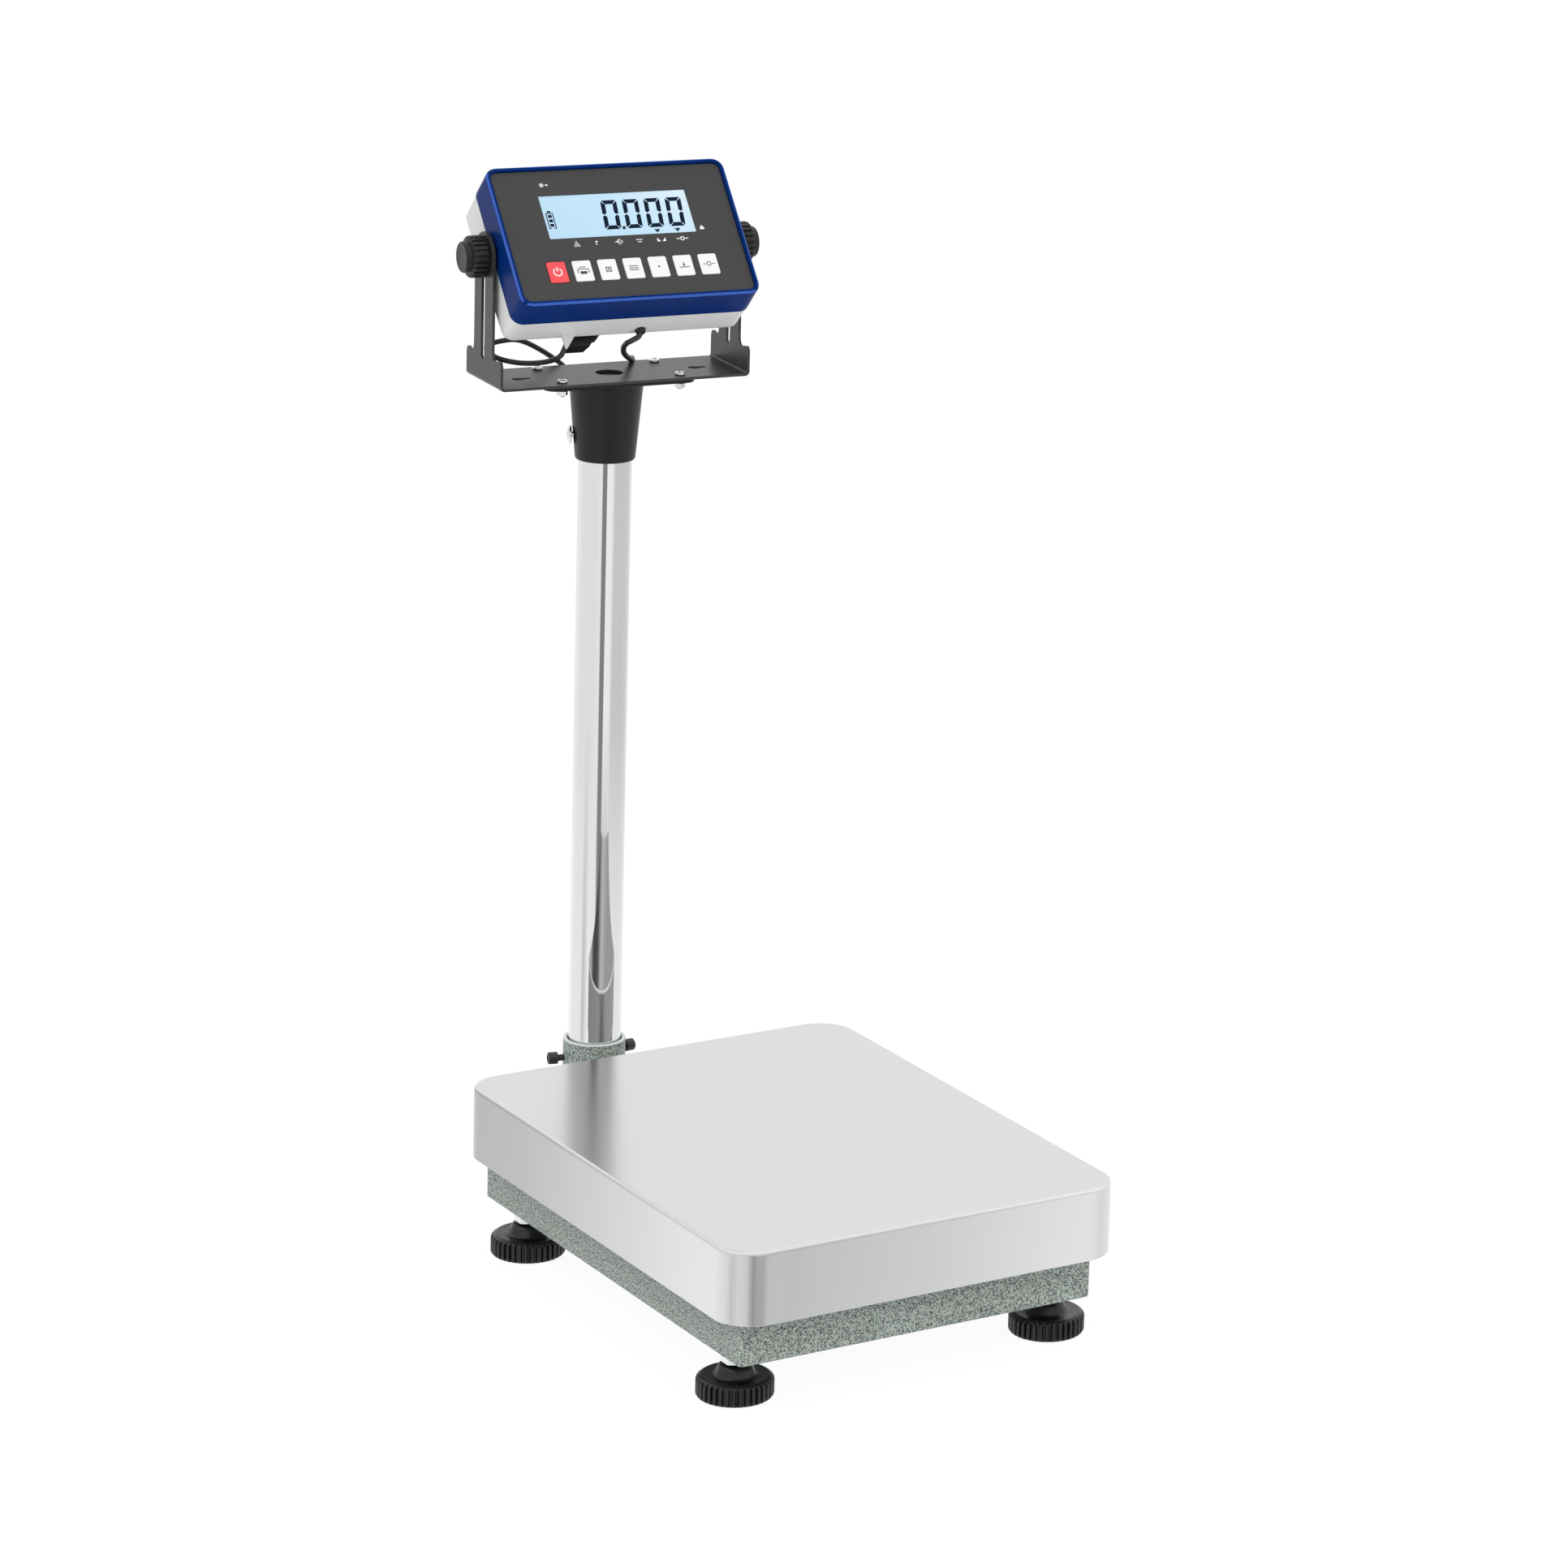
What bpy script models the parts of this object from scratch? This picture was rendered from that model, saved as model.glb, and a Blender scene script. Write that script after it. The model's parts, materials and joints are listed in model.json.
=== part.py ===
# Bench scale: base box on levelling feet, lift-off tray, column and tilting indicator.
# Metres, +Z up, front faces -Y, left is -X. Sizes are set out from the floor under the middle
# of the tray; OFFSET then moves the origin to the floor under the middle of the whole scale.
import bpy
import bmesh
import math
from mathutils import Vector, Matrix

for old_object in list(bpy.data.objects):
    bpy.data.objects.remove(old_object, do_unlink=True)

# ---------------------------------------------------------------- shared sizes
OFFSET = Vector((0, -0.0769, 0))
GAP = 0.0003                             # clearance between neighbouring parts
CORNERS = {"fl": (-1, -1), "fr": (1, -1), "bl": (-1, 1), "br": (1, 1)}

BASE_W, BASE_D, BASE_R = 0.2705, 0.3726, 0.0035
BASE_Y = 0.0030                          # the box reaches a little further back than forward
BASE_BACK = BASE_Y + BASE_D / 2
BASE_BOTTOM, BASE_TOP = 0.0321, 0.0800
FOOT_X, FOOT_Y = 0.1207, 0.1512
CABLE_HOLE_X, CABLE_HOLE_Z = 0.038, 0.046

COLUMN_Y = 0.2890
SOCKET_PLATE_TOP = 0.0500
TUBE_R, TUBE_BORE_R = 0.0190, 0.0175
TUBE_BOTTOM, TUBE_TOP = SOCKET_PLATE_TOP + GAP, 0.5877

FLANGE_BOTTOM, FLANGE_TOP = 0.5916, 0.5949
SCREW_X, SCREW_Y = 0.0447, 0.0235        # flange screws, from the bracket centre
SCREW_HOLE_R = 0.0023
SHEET = 0.0020                           # bracket sheet thickness
BRACKET_HALF_W, BRACKET_HALF_D = 0.0945, 0.0330
BRACKET_BOTTOM = FLANGE_TOP + GAP
PIVOT_Y, PIVOT_Z = 0.0025, 0.6862        # tilt axis in the bracket frame

# ---------------------------------------------------------------- frames
IDENTITY = Matrix.Identity(4)


def shift(x, y, z=0.0):
    return Matrix.Translation((x, y, z))


def along(direction, origin=(0, 0, 0)):
    """Matrix that carries +Z to direction and the origin to origin."""
    turn = Vector((0, 0, 1)).rotation_difference(Vector(direction).normalized())
    return Matrix.Translation(Vector(origin)) @ turn.to_matrix().to_4x4()


def radial(degrees, z):
    """Matrix that carries +Z to a horizontal direction, starting on the Z axis at z."""
    angle = math.radians(degrees)
    return along((math.cos(angle), math.sin(angle), 0), (0, 0, z))


# The head is turned clockwise seen from above; the bracket sits slightly right of the column.
# The case frame is upright with its front at -Y and the tilt axis along its X axis.
COLUMN_FRAME = shift(0, COLUMN_Y)
HEAD_FRAME = COLUMN_FRAME @ Matrix.Rotation(math.radians(-5.0), 4, 'Z')
BRACKET_FRAME = HEAD_FRAME @ shift(0.0016, 0)
CASE_FRAME = (BRACKET_FRAME @ shift(0, PIVOT_Y, PIVOT_Z)
              @ Matrix.Rotation(math.radians(-42.7), 4, 'X'))

# ---------------------------------------------------------------- materials
STEEL = dict(rgb=(0.72, 0.72, 0.72), metallic=1.0, roughness=0.32)
TRAY_STEEL = dict(rgb=(0.70, 0.70, 0.71), metallic=1.0, roughness=0.28)
CELL_METAL = dict(rgb=(0.75, 0.76, 0.78), metallic=1.0, roughness=0.35)
CHROME = dict(rgb=(0.85, 0.85, 0.86), metallic=1.0, roughness=0.08)
GREEN_GREY_PAINT = dict(rgb=(0.36, 0.42, 0.38), metallic=0.2, roughness=0.5)
BLACK_PAINT = dict(rgb=(0.035, 0.035, 0.036), metallic=0.1, roughness=0.5)
SPIDER_PAINT = dict(rgb=(0.10, 0.10, 0.105), metallic=0.3, roughness=0.5)
BLACK_PLASTIC = dict(rgb=(0.018, 0.018, 0.019), metallic=0.0, roughness=0.45)
RUBBER = dict(rgb=(0.02, 0.02, 0.02), metallic=0.0, roughness=0.8)
BLUE = dict(rgb=(0.012, 0.045, 0.26), metallic=0.0, roughness=0.35)
LIGHT_GREY = dict(rgb=(0.62, 0.62, 0.63), metallic=0.0, roughness=0.45)
PANEL_GREY = dict(rgb=(0.06, 0.06, 0.062), metallic=0.0, roughness=0.55)
WHITE = dict(rgb=(0.85, 0.85, 0.85), metallic=0.0, roughness=0.4)
RED = dict(rgb=(0.72, 0.03, 0.05), metallic=0.0, roughness=0.4)
CLEAR_WINDOW = dict(rgb=(0.8, 0.9, 0.95), metallic=0.0, roughness=0.08, alpha=0.3)
DISPLAY_BLUE = dict(rgb=(0.55, 0.78, 0.92), metallic=0.0, roughness=0.4)
BOARD_GREEN = dict(rgb=(0.02, 0.16, 0.07), metallic=0.0, roughness=0.5)
BATTERY_BLUE = dict(rgb=(0.03, 0.06, 0.16), metallic=0.0, roughness=0.5)


def make_material(name, rgb, metallic, roughness, alpha=1.0):
    material = bpy.data.materials.new(name)
    material.use_nodes = True
    inputs = material.node_tree.nodes["Principled BSDF"].inputs
    inputs["Base Color"].default_value = (*rgb, 1.0)
    inputs["Metallic"].default_value = metallic
    inputs["Roughness"].default_value = roughness
    inputs["Alpha"].default_value = alpha
    material.diffuse_color = (*rgb, alpha)
    return material


# ---------------------------------------------------------------- flat outlines
def arc(center_x, center_y, radius, start, end, steps):
    """Points from start to end, in degrees, both ends included."""
    points = []
    for k in range(steps + 1):
        angle = math.radians(start + (end - start) * k / steps)
        points.append((center_x + radius * math.cos(angle), center_y + radius * math.sin(angle)))
    return points


def rounded_rect(width, height, radius, steps, center_x=0.0, center_y=0.0):
    inner_x, inner_y = width / 2 - radius, height / 2 - radius
    points = []
    for side_x, side_y, start in ((1, 1, 0), (-1, 1, 90), (-1, -1, 180), (1, -1, 270)):
        points += arc(center_x + side_x * inner_x, center_y + side_y * inner_y,
                      radius, start, start + 90, steps)
    return points


def polar(radii):
    """Points at equal angles, one for each radius."""
    step = 2 * math.pi / len(radii)
    return [(r * math.cos(step * k), r * math.sin(step * k)) for k, r in enumerate(radii)]


def circle(radius, sides):
    return polar([radius] * sides)


def ribbed(crest, valley, ribs):
    return polar([crest, valley] * ribs)


def hexagon(across_flats, sides):
    """Hexagon sampled at sides points, so that it lofts to a circle."""
    radii = []
    for k in range(sides):
        angle = 2 * math.pi * k / sides
        from_flat = (angle + math.pi / 6) % (math.pi / 3) - math.pi / 6
        radii.append(across_flats / 2 / math.cos(from_flat))
    return polar(radii)


def at_z(points, z):
    return [(x, y, z) for x, y in points]


def at_x(points, x):
    return [(x, y, z) for y, z in points]


def at_y(points, y):
    return [(x, y, z) for x, z in points]


# ---------------------------------------------------------------- solids
def loft(loops, ring=False):
    """Skin equal-length loops; capped at both ends, or closed last to first as a ring."""
    shape = bmesh.new()
    rows = [[shape.verts.new(point) for point in loop] for loop in loops]
    count = len(rows[0])
    pairs = list(zip(rows[:-1], rows[1:]))
    if ring:
        pairs.append((rows[-1], rows[0]))
    for lower, upper in pairs:
        for k in range(count):
            after = (k + 1) % count
            shape.faces.new((lower[k], lower[after], upper[after], upper[k]))
    if not ring:
        shape.faces.new(list(reversed(rows[0])))
        shape.faces.new(rows[-1])
    return shape


def stack(levels, ring=False):
    """Loft through (outline, z) pairs."""
    return loft([at_z(outline, z) for outline, z in levels], ring)


def turned(profile, sides, ring=False):
    """Solid about +Z from (radius, z) pairs."""
    return stack([(circle(radius, sides), z) for radius, z in profile], ring)


def prism(points, low, high, place=at_z):
    return loft([place(points, low), place(points, high)])


def box(x0, x1, y0, y1, z0, z1):
    return prism([(x0, y0), (x1, y0), (x1, y1), (x0, y1)], z0, z1)


def move(shape, matrix):
    bmesh.ops.transform(shape, matrix=matrix, verts=shape.verts)
    return shape


def rod(radius, bottom, top, sides, frame=IDENTITY):
    return move(turned([(radius, bottom), (radius, top)], sides), frame)


def nut(across_flats, bore_radius, bottom, top, sides):
    outside = hexagon(across_flats, sides)
    bore = circle(bore_radius, sides)
    return stack([(outside, bottom), (outside, top), (bore, top), (bore, bottom)], True)


def merge(shapes):
    merged = bmesh.new()
    for shape in shapes:
        mesh = bpy.data.meshes.new("tmp")
        shape.to_mesh(mesh)
        shape.free()
        merged.from_mesh(mesh)
        bpy.data.meshes.remove(mesh)
    return merged


def smooth_curve(points, steps=3):
    """Catmull-Rom curve through points, with steps segments between neighbours."""
    knots = [points[0] * 2 - points[1]] + points + [points[-1] * 2 - points[-2]]
    curve = []
    for p0, p1, p2, p3 in zip(knots, knots[1:], knots[2:], knots[3:]):
        for k in range(steps):
            t = k / steps
            curve.append(0.5 * (2 * p1 + (p2 - p0) * t
                                + (2 * p0 - 5 * p1 + 4 * p2 - p3) * t ** 2
                                + (3 * p1 - p0 - 3 * p2 + p3) * t ** 3))
    curve.append(points[-1])
    return curve


def sweep(path, radius, sides=8):
    """Round cord along path, its section carried along with as little twist as possible."""
    normal = (path[1] - path[0]).normalized().orthogonal().normalized()
    loops = []
    for i, center in enumerate(path):
        tangent = (path[min(i + 1, len(path) - 1)] - path[max(i - 1, 0)]).normalized()
        normal = (normal - tangent * normal.dot(tangent)).normalized()
        side = tangent.cross(normal)
        loops.append([center + normal * x + side * y for x, y in circle(radius, sides)])
    return loft(loops)


# ---------------------------------------------------------------- objects
PIECES = bpy.data.collections.new("bench_scale")
CUTTERS = bpy.data.collections.new("cutters")
bpy.context.scene.collection.children.link(PIECES)
bpy.context.scene.collection.children.link(CUTTERS)


def add_object(name, shape, frame, origin, collection):
    """Object from a shape given in frame; origin is a point before OFFSET is added."""
    move(shape, frame)
    bmesh.ops.recalc_face_normals(shape, faces=shape.faces)
    bmesh.ops.translate(shape, verts=shape.verts, vec=-origin)
    mesh = bpy.data.meshes.new(name)
    shape.to_mesh(mesh)
    shape.free()
    new_object = bpy.data.objects.new(name, mesh)
    new_object.location = origin + OFFSET
    collection.objects.link(new_object)
    return new_object


def piece(name, shape, look, origin=(0, 0, 0), frame=IDENTITY, smooth=True):
    """Finished piece; shape and origin are both given in frame."""
    new_piece = add_object(name, shape, frame, frame @ Vector(origin), PIECES)
    mesh = new_piece.data
    mesh.materials.append(make_material(name + "_mat", **look))
    if smooth:
        for face in mesh.polygons:
            face.use_smooth = True
        mesh.set_sharp_from_angle(angle=math.radians(32))
    return new_piece


def combine(target, operation, shape, tag, frame=IDENTITY):
    """Boolean modifier on target, driven by a helper object that shares its origin."""
    helper = add_object(target.name + "_" + tag, shape, frame, target.location - OFFSET, CUTTERS)
    helper.hide_render = True
    helper.display_type = 'WIRE'
    modifier = target.modifiers.new(tag, 'BOOLEAN')
    modifier.operation = operation
    modifier.solver = 'EXACT'
    modifier.object = helper


def add(target, shape, tag, frame=IDENTITY):
    combine(target, 'UNION', shape, tag, frame)


def cut(target, shape, tag, frame=IDENTITY):
    combine(target, 'DIFFERENCE', shape, tag, frame)


# ---------------------------------------------------------------- base and load cell
BASE_WALL, BASE_FLOOR, BASE_CHAMFER = 0.0020, 0.0030, 0.0015
CELL_BOTTOM, CELL_TOP = 0.0407, 0.0757
CELL_HALF_W, CELL_HALF_L = 0.0200, 0.0750
CELL_MID_Z = (CELL_BOTTOM + CELL_TOP) / 2
BOLT_INNER, BOLT_OUTER = 0.0480, 0.0680  # bolt distances from the cell middle, along Y
BOLT_MID = (BOLT_INNER + BOLT_OUTER) / 2
BOLT_R, BOLT_HOLE_R, BOLT_HEAD = 0.0030, 0.0034, 0.0100


def base_loop(inset, z):
    return at_z(rounded_rect(BASE_W - 2 * inset, BASE_D - 2 * inset, BASE_R - inset, 4,
                             0, BASE_Y), z)


def bolt_holes(y_positions, bottom, top):
    return [rod(BOLT_HOLE_R, bottom, top, 12, shift(0, y)) for y in y_positions]


def build_base():
    """Open box with foot bosses and a raised seat under the rear end of the load cell."""
    base = piece("base_frame", loft([
        base_loop(BASE_CHAMFER, BASE_BOTTOM),
        base_loop(0, BASE_BOTTOM + BASE_CHAMFER),
        base_loop(0, BASE_TOP),
        base_loop(BASE_WALL, BASE_TOP),
        base_loop(BASE_WALL, BASE_BOTTOM + BASE_FLOOR),
    ]), GREEN_GREY_PAINT)
    feet = [shift(side_x * FOOT_X, side_y * FOOT_Y) for side_x, side_y in CORNERS.values()]
    boss_bottom = BASE_BOTTOM + 0.002    # starts inside the floor
    bosses = [rod(0.0105, boss_bottom, 0.0560, 16, foot) for foot in feet]
    bosses.append(box(-0.022, 0.022, BOLT_MID - 0.020, BOLT_MID + 0.020,
                      boss_bottom, CELL_BOTTOM - GAP))
    add(base, merge(bosses), "bosses")
    holes = [rod(0.0054, 0.02, 0.07, 16, foot) for foot in feet]
    holes += bolt_holes((BOLT_INNER, BOLT_OUTER), 0.02, 0.07)
    holes.append(rod(0.0031, -0.01, 0.01, 16,
                     along((0, 1, 0), (CABLE_HOLE_X, BASE_BACK, CABLE_HOLE_Z))))
    cut(base, merge(holes), "holes")


def build_load_cell():
    """Bar with two round bending windows joined by a slot."""
    cell = piece("load_cell", box(-CELL_HALF_W, CELL_HALF_W, -CELL_HALF_L, CELL_HALF_L,
                                  CELL_BOTTOM, CELL_TOP), CELL_METAL, smooth=False)
    for tag, y in (("window_front", -0.016), ("window_rear", 0.016)):
        cut(cell, rod(0.0125, -0.03, 0.03, 20, along((1, 0, 0), (0, y, CELL_MID_Z))), tag)
    cut(cell, box(-0.03, 0.03, -0.012, 0.012, CELL_MID_Z - 0.006, CELL_MID_Z + 0.006),
        "window_mid")
    cut(cell, merge(bolt_holes((BOLT_INNER, BOLT_OUTER, -BOLT_INNER, -BOLT_OUTER),
                               CELL_BOTTOM - 0.01, CELL_TOP + 0.01)), "bolt_holes")


def build_base_bolts():
    """Bolts up through the base floor into the rear end of the cell."""
    head = hexagon(BOLT_HEAD, 12)
    shank = circle(BOLT_R, 12)
    seat = BASE_BOTTOM - GAP
    for place, y in (("front", BOLT_INNER), ("rear", BOLT_OUTER)):
        piece("cell_bolt_base_" + place,
              stack([(head, 0.0280), (head, seat), (shank, seat), (shank, 0.0640)]),
              STEEL, (0, 0, seat), shift(0, y))


# ---------------------------------------------------------------- cross frame and tray
SPIDER_BOTTOM, SPIDER_TOP = 0.1000, 0.1060
# (x, y) around the plate, four arms reaching to the tray corners
SPIDER_OUTLINE = [
    (0.118, 0.166), (0.092, 0.166), (0.020, 0.062), (-0.020, 0.062), (-0.092, 0.166),
    (-0.118, 0.166), (-0.118, 0.140), (-0.052, 0.040), (-0.052, -0.040), (-0.118, -0.140),
    (-0.118, -0.166), (-0.092, -0.166), (-0.024, -0.092), (0.024, -0.092), (0.092, -0.166),
    (0.118, -0.166), (0.118, -0.140), (0.052, -0.040), (0.052, 0.040), (0.118, 0.140)]
PAD_X, PAD_Y = 0.104, 0.152
TRAY_W, TRAY_D, TRAY_R = 0.300, 0.400, 0.0267
TRAY_TOP, TRAY_SKIRT, TRAY_SHEET = 0.1169, 0.0512, 0.0012
TRAY_EDGE_R, TRAY_INNER_CHAMFER = 0.0026, 0.0014


def build_spider():
    """Cross frame on the front end of the cell."""
    spider = piece("platform_spider", prism(SPIDER_OUTLINE, SPIDER_BOTTOM, SPIDER_TOP),
                   SPIDER_PAINT, (0, -BOLT_MID, SPIDER_BOTTOM), smooth=False)
    add(spider, box(-0.020, 0.020, -BOLT_MID - 0.020, -BOLT_MID + 0.020,
                    CELL_TOP + 0.0008, SPIDER_BOTTOM + 0.001), "boss")
    cut(spider, merge(bolt_holes((-BOLT_INNER, -BOLT_OUTER), 0.07, 0.12)), "bolt_holes")


def build_spider_bolts():
    head = hexagon(BOLT_HEAD, 12)
    shank = circle(BOLT_R, 12)
    seat = SPIDER_TOP + GAP
    for place, y in (("front", -BOLT_OUTER), ("rear", -BOLT_INNER)):
        piece("cell_bolt_top_" + place,
              stack([(shank, 0.0560), (shank, seat), (head, seat), (head, SPIDER_TOP + 0.0045)]),
              STEEL, (0, 0, SPIDER_TOP), shift(0, y))


def build_tray_pads():
    for tag, (side_x, side_y) in CORNERS.items():
        piece("tray_pad_" + tag,
              turned([(0.0095, SPIDER_TOP + GAP), (0.0110, SPIDER_TOP + 0.002),
                      (0.0110, 0.1140), (0.0100, 0.1153)], 16),
              RUBBER, (0, 0, SPIDER_TOP), shift(side_x * PAD_X, side_y * PAD_Y))


def tray_loop(inset, z):
    return at_z(rounded_rect(TRAY_W - 2 * inset, TRAY_D - 2 * inset, TRAY_R - inset, 8), z)


def build_tray():
    """Thin shell, lofted from its inner top down the skirt and back up the outside."""
    inner_top = TRAY_TOP - TRAY_SHEET
    loops = [tray_loop(TRAY_SHEET + TRAY_INNER_CHAMFER, inner_top),
             tray_loop(TRAY_SHEET, inner_top - TRAY_INNER_CHAMFER),
             tray_loop(TRAY_SHEET, TRAY_TOP - TRAY_SKIRT),
             tray_loop(0, TRAY_TOP - TRAY_SKIRT)]
    for k in range(5):
        angle = math.radians(22.5 * k)
        loops.append(tray_loop(TRAY_EDGE_R * (1 - math.cos(angle)),
                               TRAY_TOP - TRAY_EDGE_R + TRAY_EDGE_R * math.sin(angle)))
    piece("platform_tray", loft(loops), TRAY_STEEL, (0, 0, TRAY_TOP))


# ---------------------------------------------------------------- levelling feet
FOOT_R, FOOT_RIBS = 0.0261, 24
STUD_R = 0.0050
STUD_BORE_R = STUD_R + 0.0004
LOCK_NUT_BOTTOM, LOCK_NUT_TOP = 0.0237, 0.0317


def foot_pad():
    """Ribbed pad with a raised hub and a blind bore for the stud."""
    sides = 2 * FOOT_RIBS
    ribs = ribbed(FOOT_R, FOOT_R - 0.0009, FOOT_RIBS)
    return stack([
        (circle(FOOT_R - 0.0022, sides), 0.0), (ribs, 0.0022), (ribs, 0.0125),
        (circle(FOOT_R - 0.0016, sides), 0.0142), (circle(0.0220, sides), 0.0156),
        (circle(0.0135, sides), 0.0150), (circle(0.0105, sides), 0.0225),
        (circle(STUD_BORE_R, sides), 0.0228), (circle(STUD_BORE_R, sides), 0.0060)])


def build_feet():
    for tag, (side_x, side_y) in CORNERS.items():
        frame = shift(side_x * FOOT_X, side_y * FOOT_Y)
        piece("foot_pad_" + tag, foot_pad(), BLACK_PLASTIC, frame=frame)
        piece("foot_stud_" + tag,
              turned([(STUD_R - 0.0008, 0.0064), (STUD_R, 0.0072),
                      (STUD_R, 0.0680), (STUD_R - 0.0008, 0.0688)], 16),
              STEEL, (0, 0, 0.0225), frame)
        piece("foot_lock_nut_" + tag,
              nut(0.0170, STUD_BORE_R, LOCK_NUT_BOTTOM, LOCK_NUT_TOP, 24),
              CHROME, (0, 0, LOCK_NUT_BOTTOM), frame)


# ---------------------------------------------------------------- column and socket
SOCKET_R, SOCKET_BORE_R, SOCKET_TOP = 0.0226, 0.0197, 0.1000
SOCKET_PLATE_BOTTOM, SOCKET_HALF_W = 0.0380, 0.0300
# name: direction in degrees from +X, height, distance of the head from the column axis
SOCKET_CLAMPS = {"left": (165.0, 0.0853, 0.0272), "right": (5.0, 0.0880, 0.0262)}


def tube_shape(outer, bore, bottom, top, sides):
    return turned([(outer, bottom), (outer, top), (bore, top), (bore, bottom)], sides, True)


def build_socket():
    """Round-ended plate behind the base, with a collar around the column."""
    front = BASE_BACK + GAP - COLUMN_Y
    outline = [(-SOCKET_HALF_W, front), (SOCKET_HALF_W, front)]
    outline += arc(0, 0, SOCKET_HALF_W, 0, 180, 16)
    socket = piece("column_socket", prism(outline, SOCKET_PLATE_BOTTOM, SOCKET_PLATE_TOP),
                   GREEN_GREY_PAINT, (0, 0, SOCKET_PLATE_TOP), COLUMN_FRAME)
    add(socket, tube_shape(SOCKET_R, SOCKET_BORE_R, SOCKET_PLATE_TOP - 0.002, SOCKET_TOP, 40),
        "collar", COLUMN_FRAME)
    holes = [rod(0.0028, 0.0150, 0.0260, 16, radial(degrees, z))
             for degrees, z, _ in SOCKET_CLAMPS.values()]
    cut(socket, merge(holes), "clamp_holes", COLUMN_FRAME)


def build_socket_screws():
    """Screws with a hexagonal recess in the head."""
    recess = hexagon(0.0040, 18)
    for place, (degrees, z, head) in SOCKET_CLAMPS.items():
        screw = stack([
            (circle(0.0021, 18), TUBE_R + 0.0004), (circle(0.0024, 18), TUBE_R + 0.0009),
            (circle(0.0024, 18), head), (circle(0.00445, 18), head),
            (circle(0.00445, 18), head + 0.0064), (circle(0.0040, 18), head + 0.0070),
            (recess, head + 0.0070), (recess, head + 0.0040)])
        piece("socket_clamp_screw_" + place, screw, BLACK_PAINT, (0, 0, head),
              COLUMN_FRAME @ radial(degrees, z))


def build_column():
    piece("column_tube", tube_shape(TUBE_R, TUBE_BORE_R, TUBE_BOTTOM, TUBE_TOP, 48),
          CHROME, (0, 0, TUBE_BOTTOM), COLUMN_FRAME)


# ---------------------------------------------------------------- head adapter
CONE_BOTTOM, CONE_BOTTOM_R, CONE_TOP_R = 0.5346, 0.02135, 0.0264
FLANGE_W, FLANGE_D, FLANGE_R = 0.114, 0.056, 0.009
ADAPTER_CLAMP = radial(160.0, 0.5515)
ADAPTER_CLAMP_HEAD = 0.0241              # distance of the head from the column axis


def screw_holes(bottom, top):
    return [rod(SCREW_HOLE_R, bottom, top, 12, shift(side_x * SCREW_X, side_y * SCREW_Y))
            for side_x, side_y in CORNERS.values()]


def build_adapter():
    """Cone over the column top, carrying a flat flange."""
    bore_r = TUBE_R + GAP
    adapter = piece("head_adapter", turned([
        (bore_r, TUBE_TOP + GAP), (bore_r, CONE_BOTTOM), (CONE_BOTTOM_R - 0.0004, CONE_BOTTOM),
        (CONE_BOTTOM_R, CONE_BOTTOM + 0.0008), (CONE_TOP_R, FLANGE_BOTTOM + 0.0005)], 40),
        BLACK_PLASTIC, (0, 0, CONE_BOTTOM), HEAD_FRAME)
    flange = rounded_rect(FLANGE_W, FLANGE_D, FLANGE_R, 5)
    add(adapter, prism(flange, FLANGE_BOTTOM, FLANGE_TOP), "flange", BRACKET_FRAME)
    cut(adapter, merge(screw_holes(0.585, 0.605)), "holes", BRACKET_FRAME)
    cut(adapter, rod(0.0029, 0.0150, 0.0300, 16, ADAPTER_CLAMP), "clamp_hole", HEAD_FRAME)


def build_adapter_screw():
    piece("adapter_clamp_screw", turned([
        (0.0021, TUBE_R + 0.0004), (0.0025, TUBE_R + 0.0010), (0.0025, ADAPTER_CLAMP_HEAD),
        (0.0068, ADAPTER_CLAMP_HEAD), (0.0070, 0.0252), (0.0060, 0.0266), (0.0035, 0.0273)], 20),
        CHROME, (0, 0, ADAPTER_CLAMP_HEAD), HEAD_FRAME @ ADAPTER_CLAMP)


# ---------------------------------------------------------------- bracket
ARM_Y, ARM_HALF_W = 0.0015, 0.0175       # narrow upper arm: centre and half width
ARM_BLANK_TOP = PIVOT_Z + ARM_HALF_W + 0.0005
BEND_INNER_R = 0.0014
BEND_OUTER_R = BEND_INNER_R + SHEET
SLOT_HALF_W, SLOT_BOTTOM_Z, SLOT_TOP_Z = 0.0031, 0.6155, 0.6890  # Z of the end arc centres
KEYHOLE_XS, KEYHOLE_Y, KEYHOLE_R = (-0.0700, 0.0640), -0.003, 0.0034
# (x, y) of the keyhole's narrow end, from the centre of its round end
KEYHOLE_NECK = [(0.0072, -0.0019), (0.0086, -0.0012), (0.0090, 0.0),
                (0.0086, 0.0012), (0.0072, 0.0019)]


def bracket_profile():
    """(x, z) outline of the U-shaped sheet, outside first and then back along the inside."""
    outer_x = BRACKET_HALF_W - BEND_OUTER_R
    inner_x = BRACKET_HALF_W - SHEET - BEND_INNER_R
    outer_z = BRACKET_BOTTOM + BEND_OUTER_R
    inner_z = BRACKET_BOTTOM + SHEET + BEND_INNER_R
    return ([(-BRACKET_HALF_W, ARM_BLANK_TOP)]
            + arc(-outer_x, outer_z, BEND_OUTER_R, 180, 270, 5)
            + arc(outer_x, outer_z, BEND_OUTER_R, 270, 360, 5)
            + [(BRACKET_HALF_W, ARM_BLANK_TOP), (BRACKET_HALF_W - SHEET, ARM_BLANK_TOP)]
            + arc(inner_x, inner_z, BEND_INNER_R, 360, 270, 5)
            + arc(-inner_x, inner_z, BEND_INNER_R, 270, 180, 5)
            + [(-BRACKET_HALF_W + SHEET, ARM_BLANK_TOP)])


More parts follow.
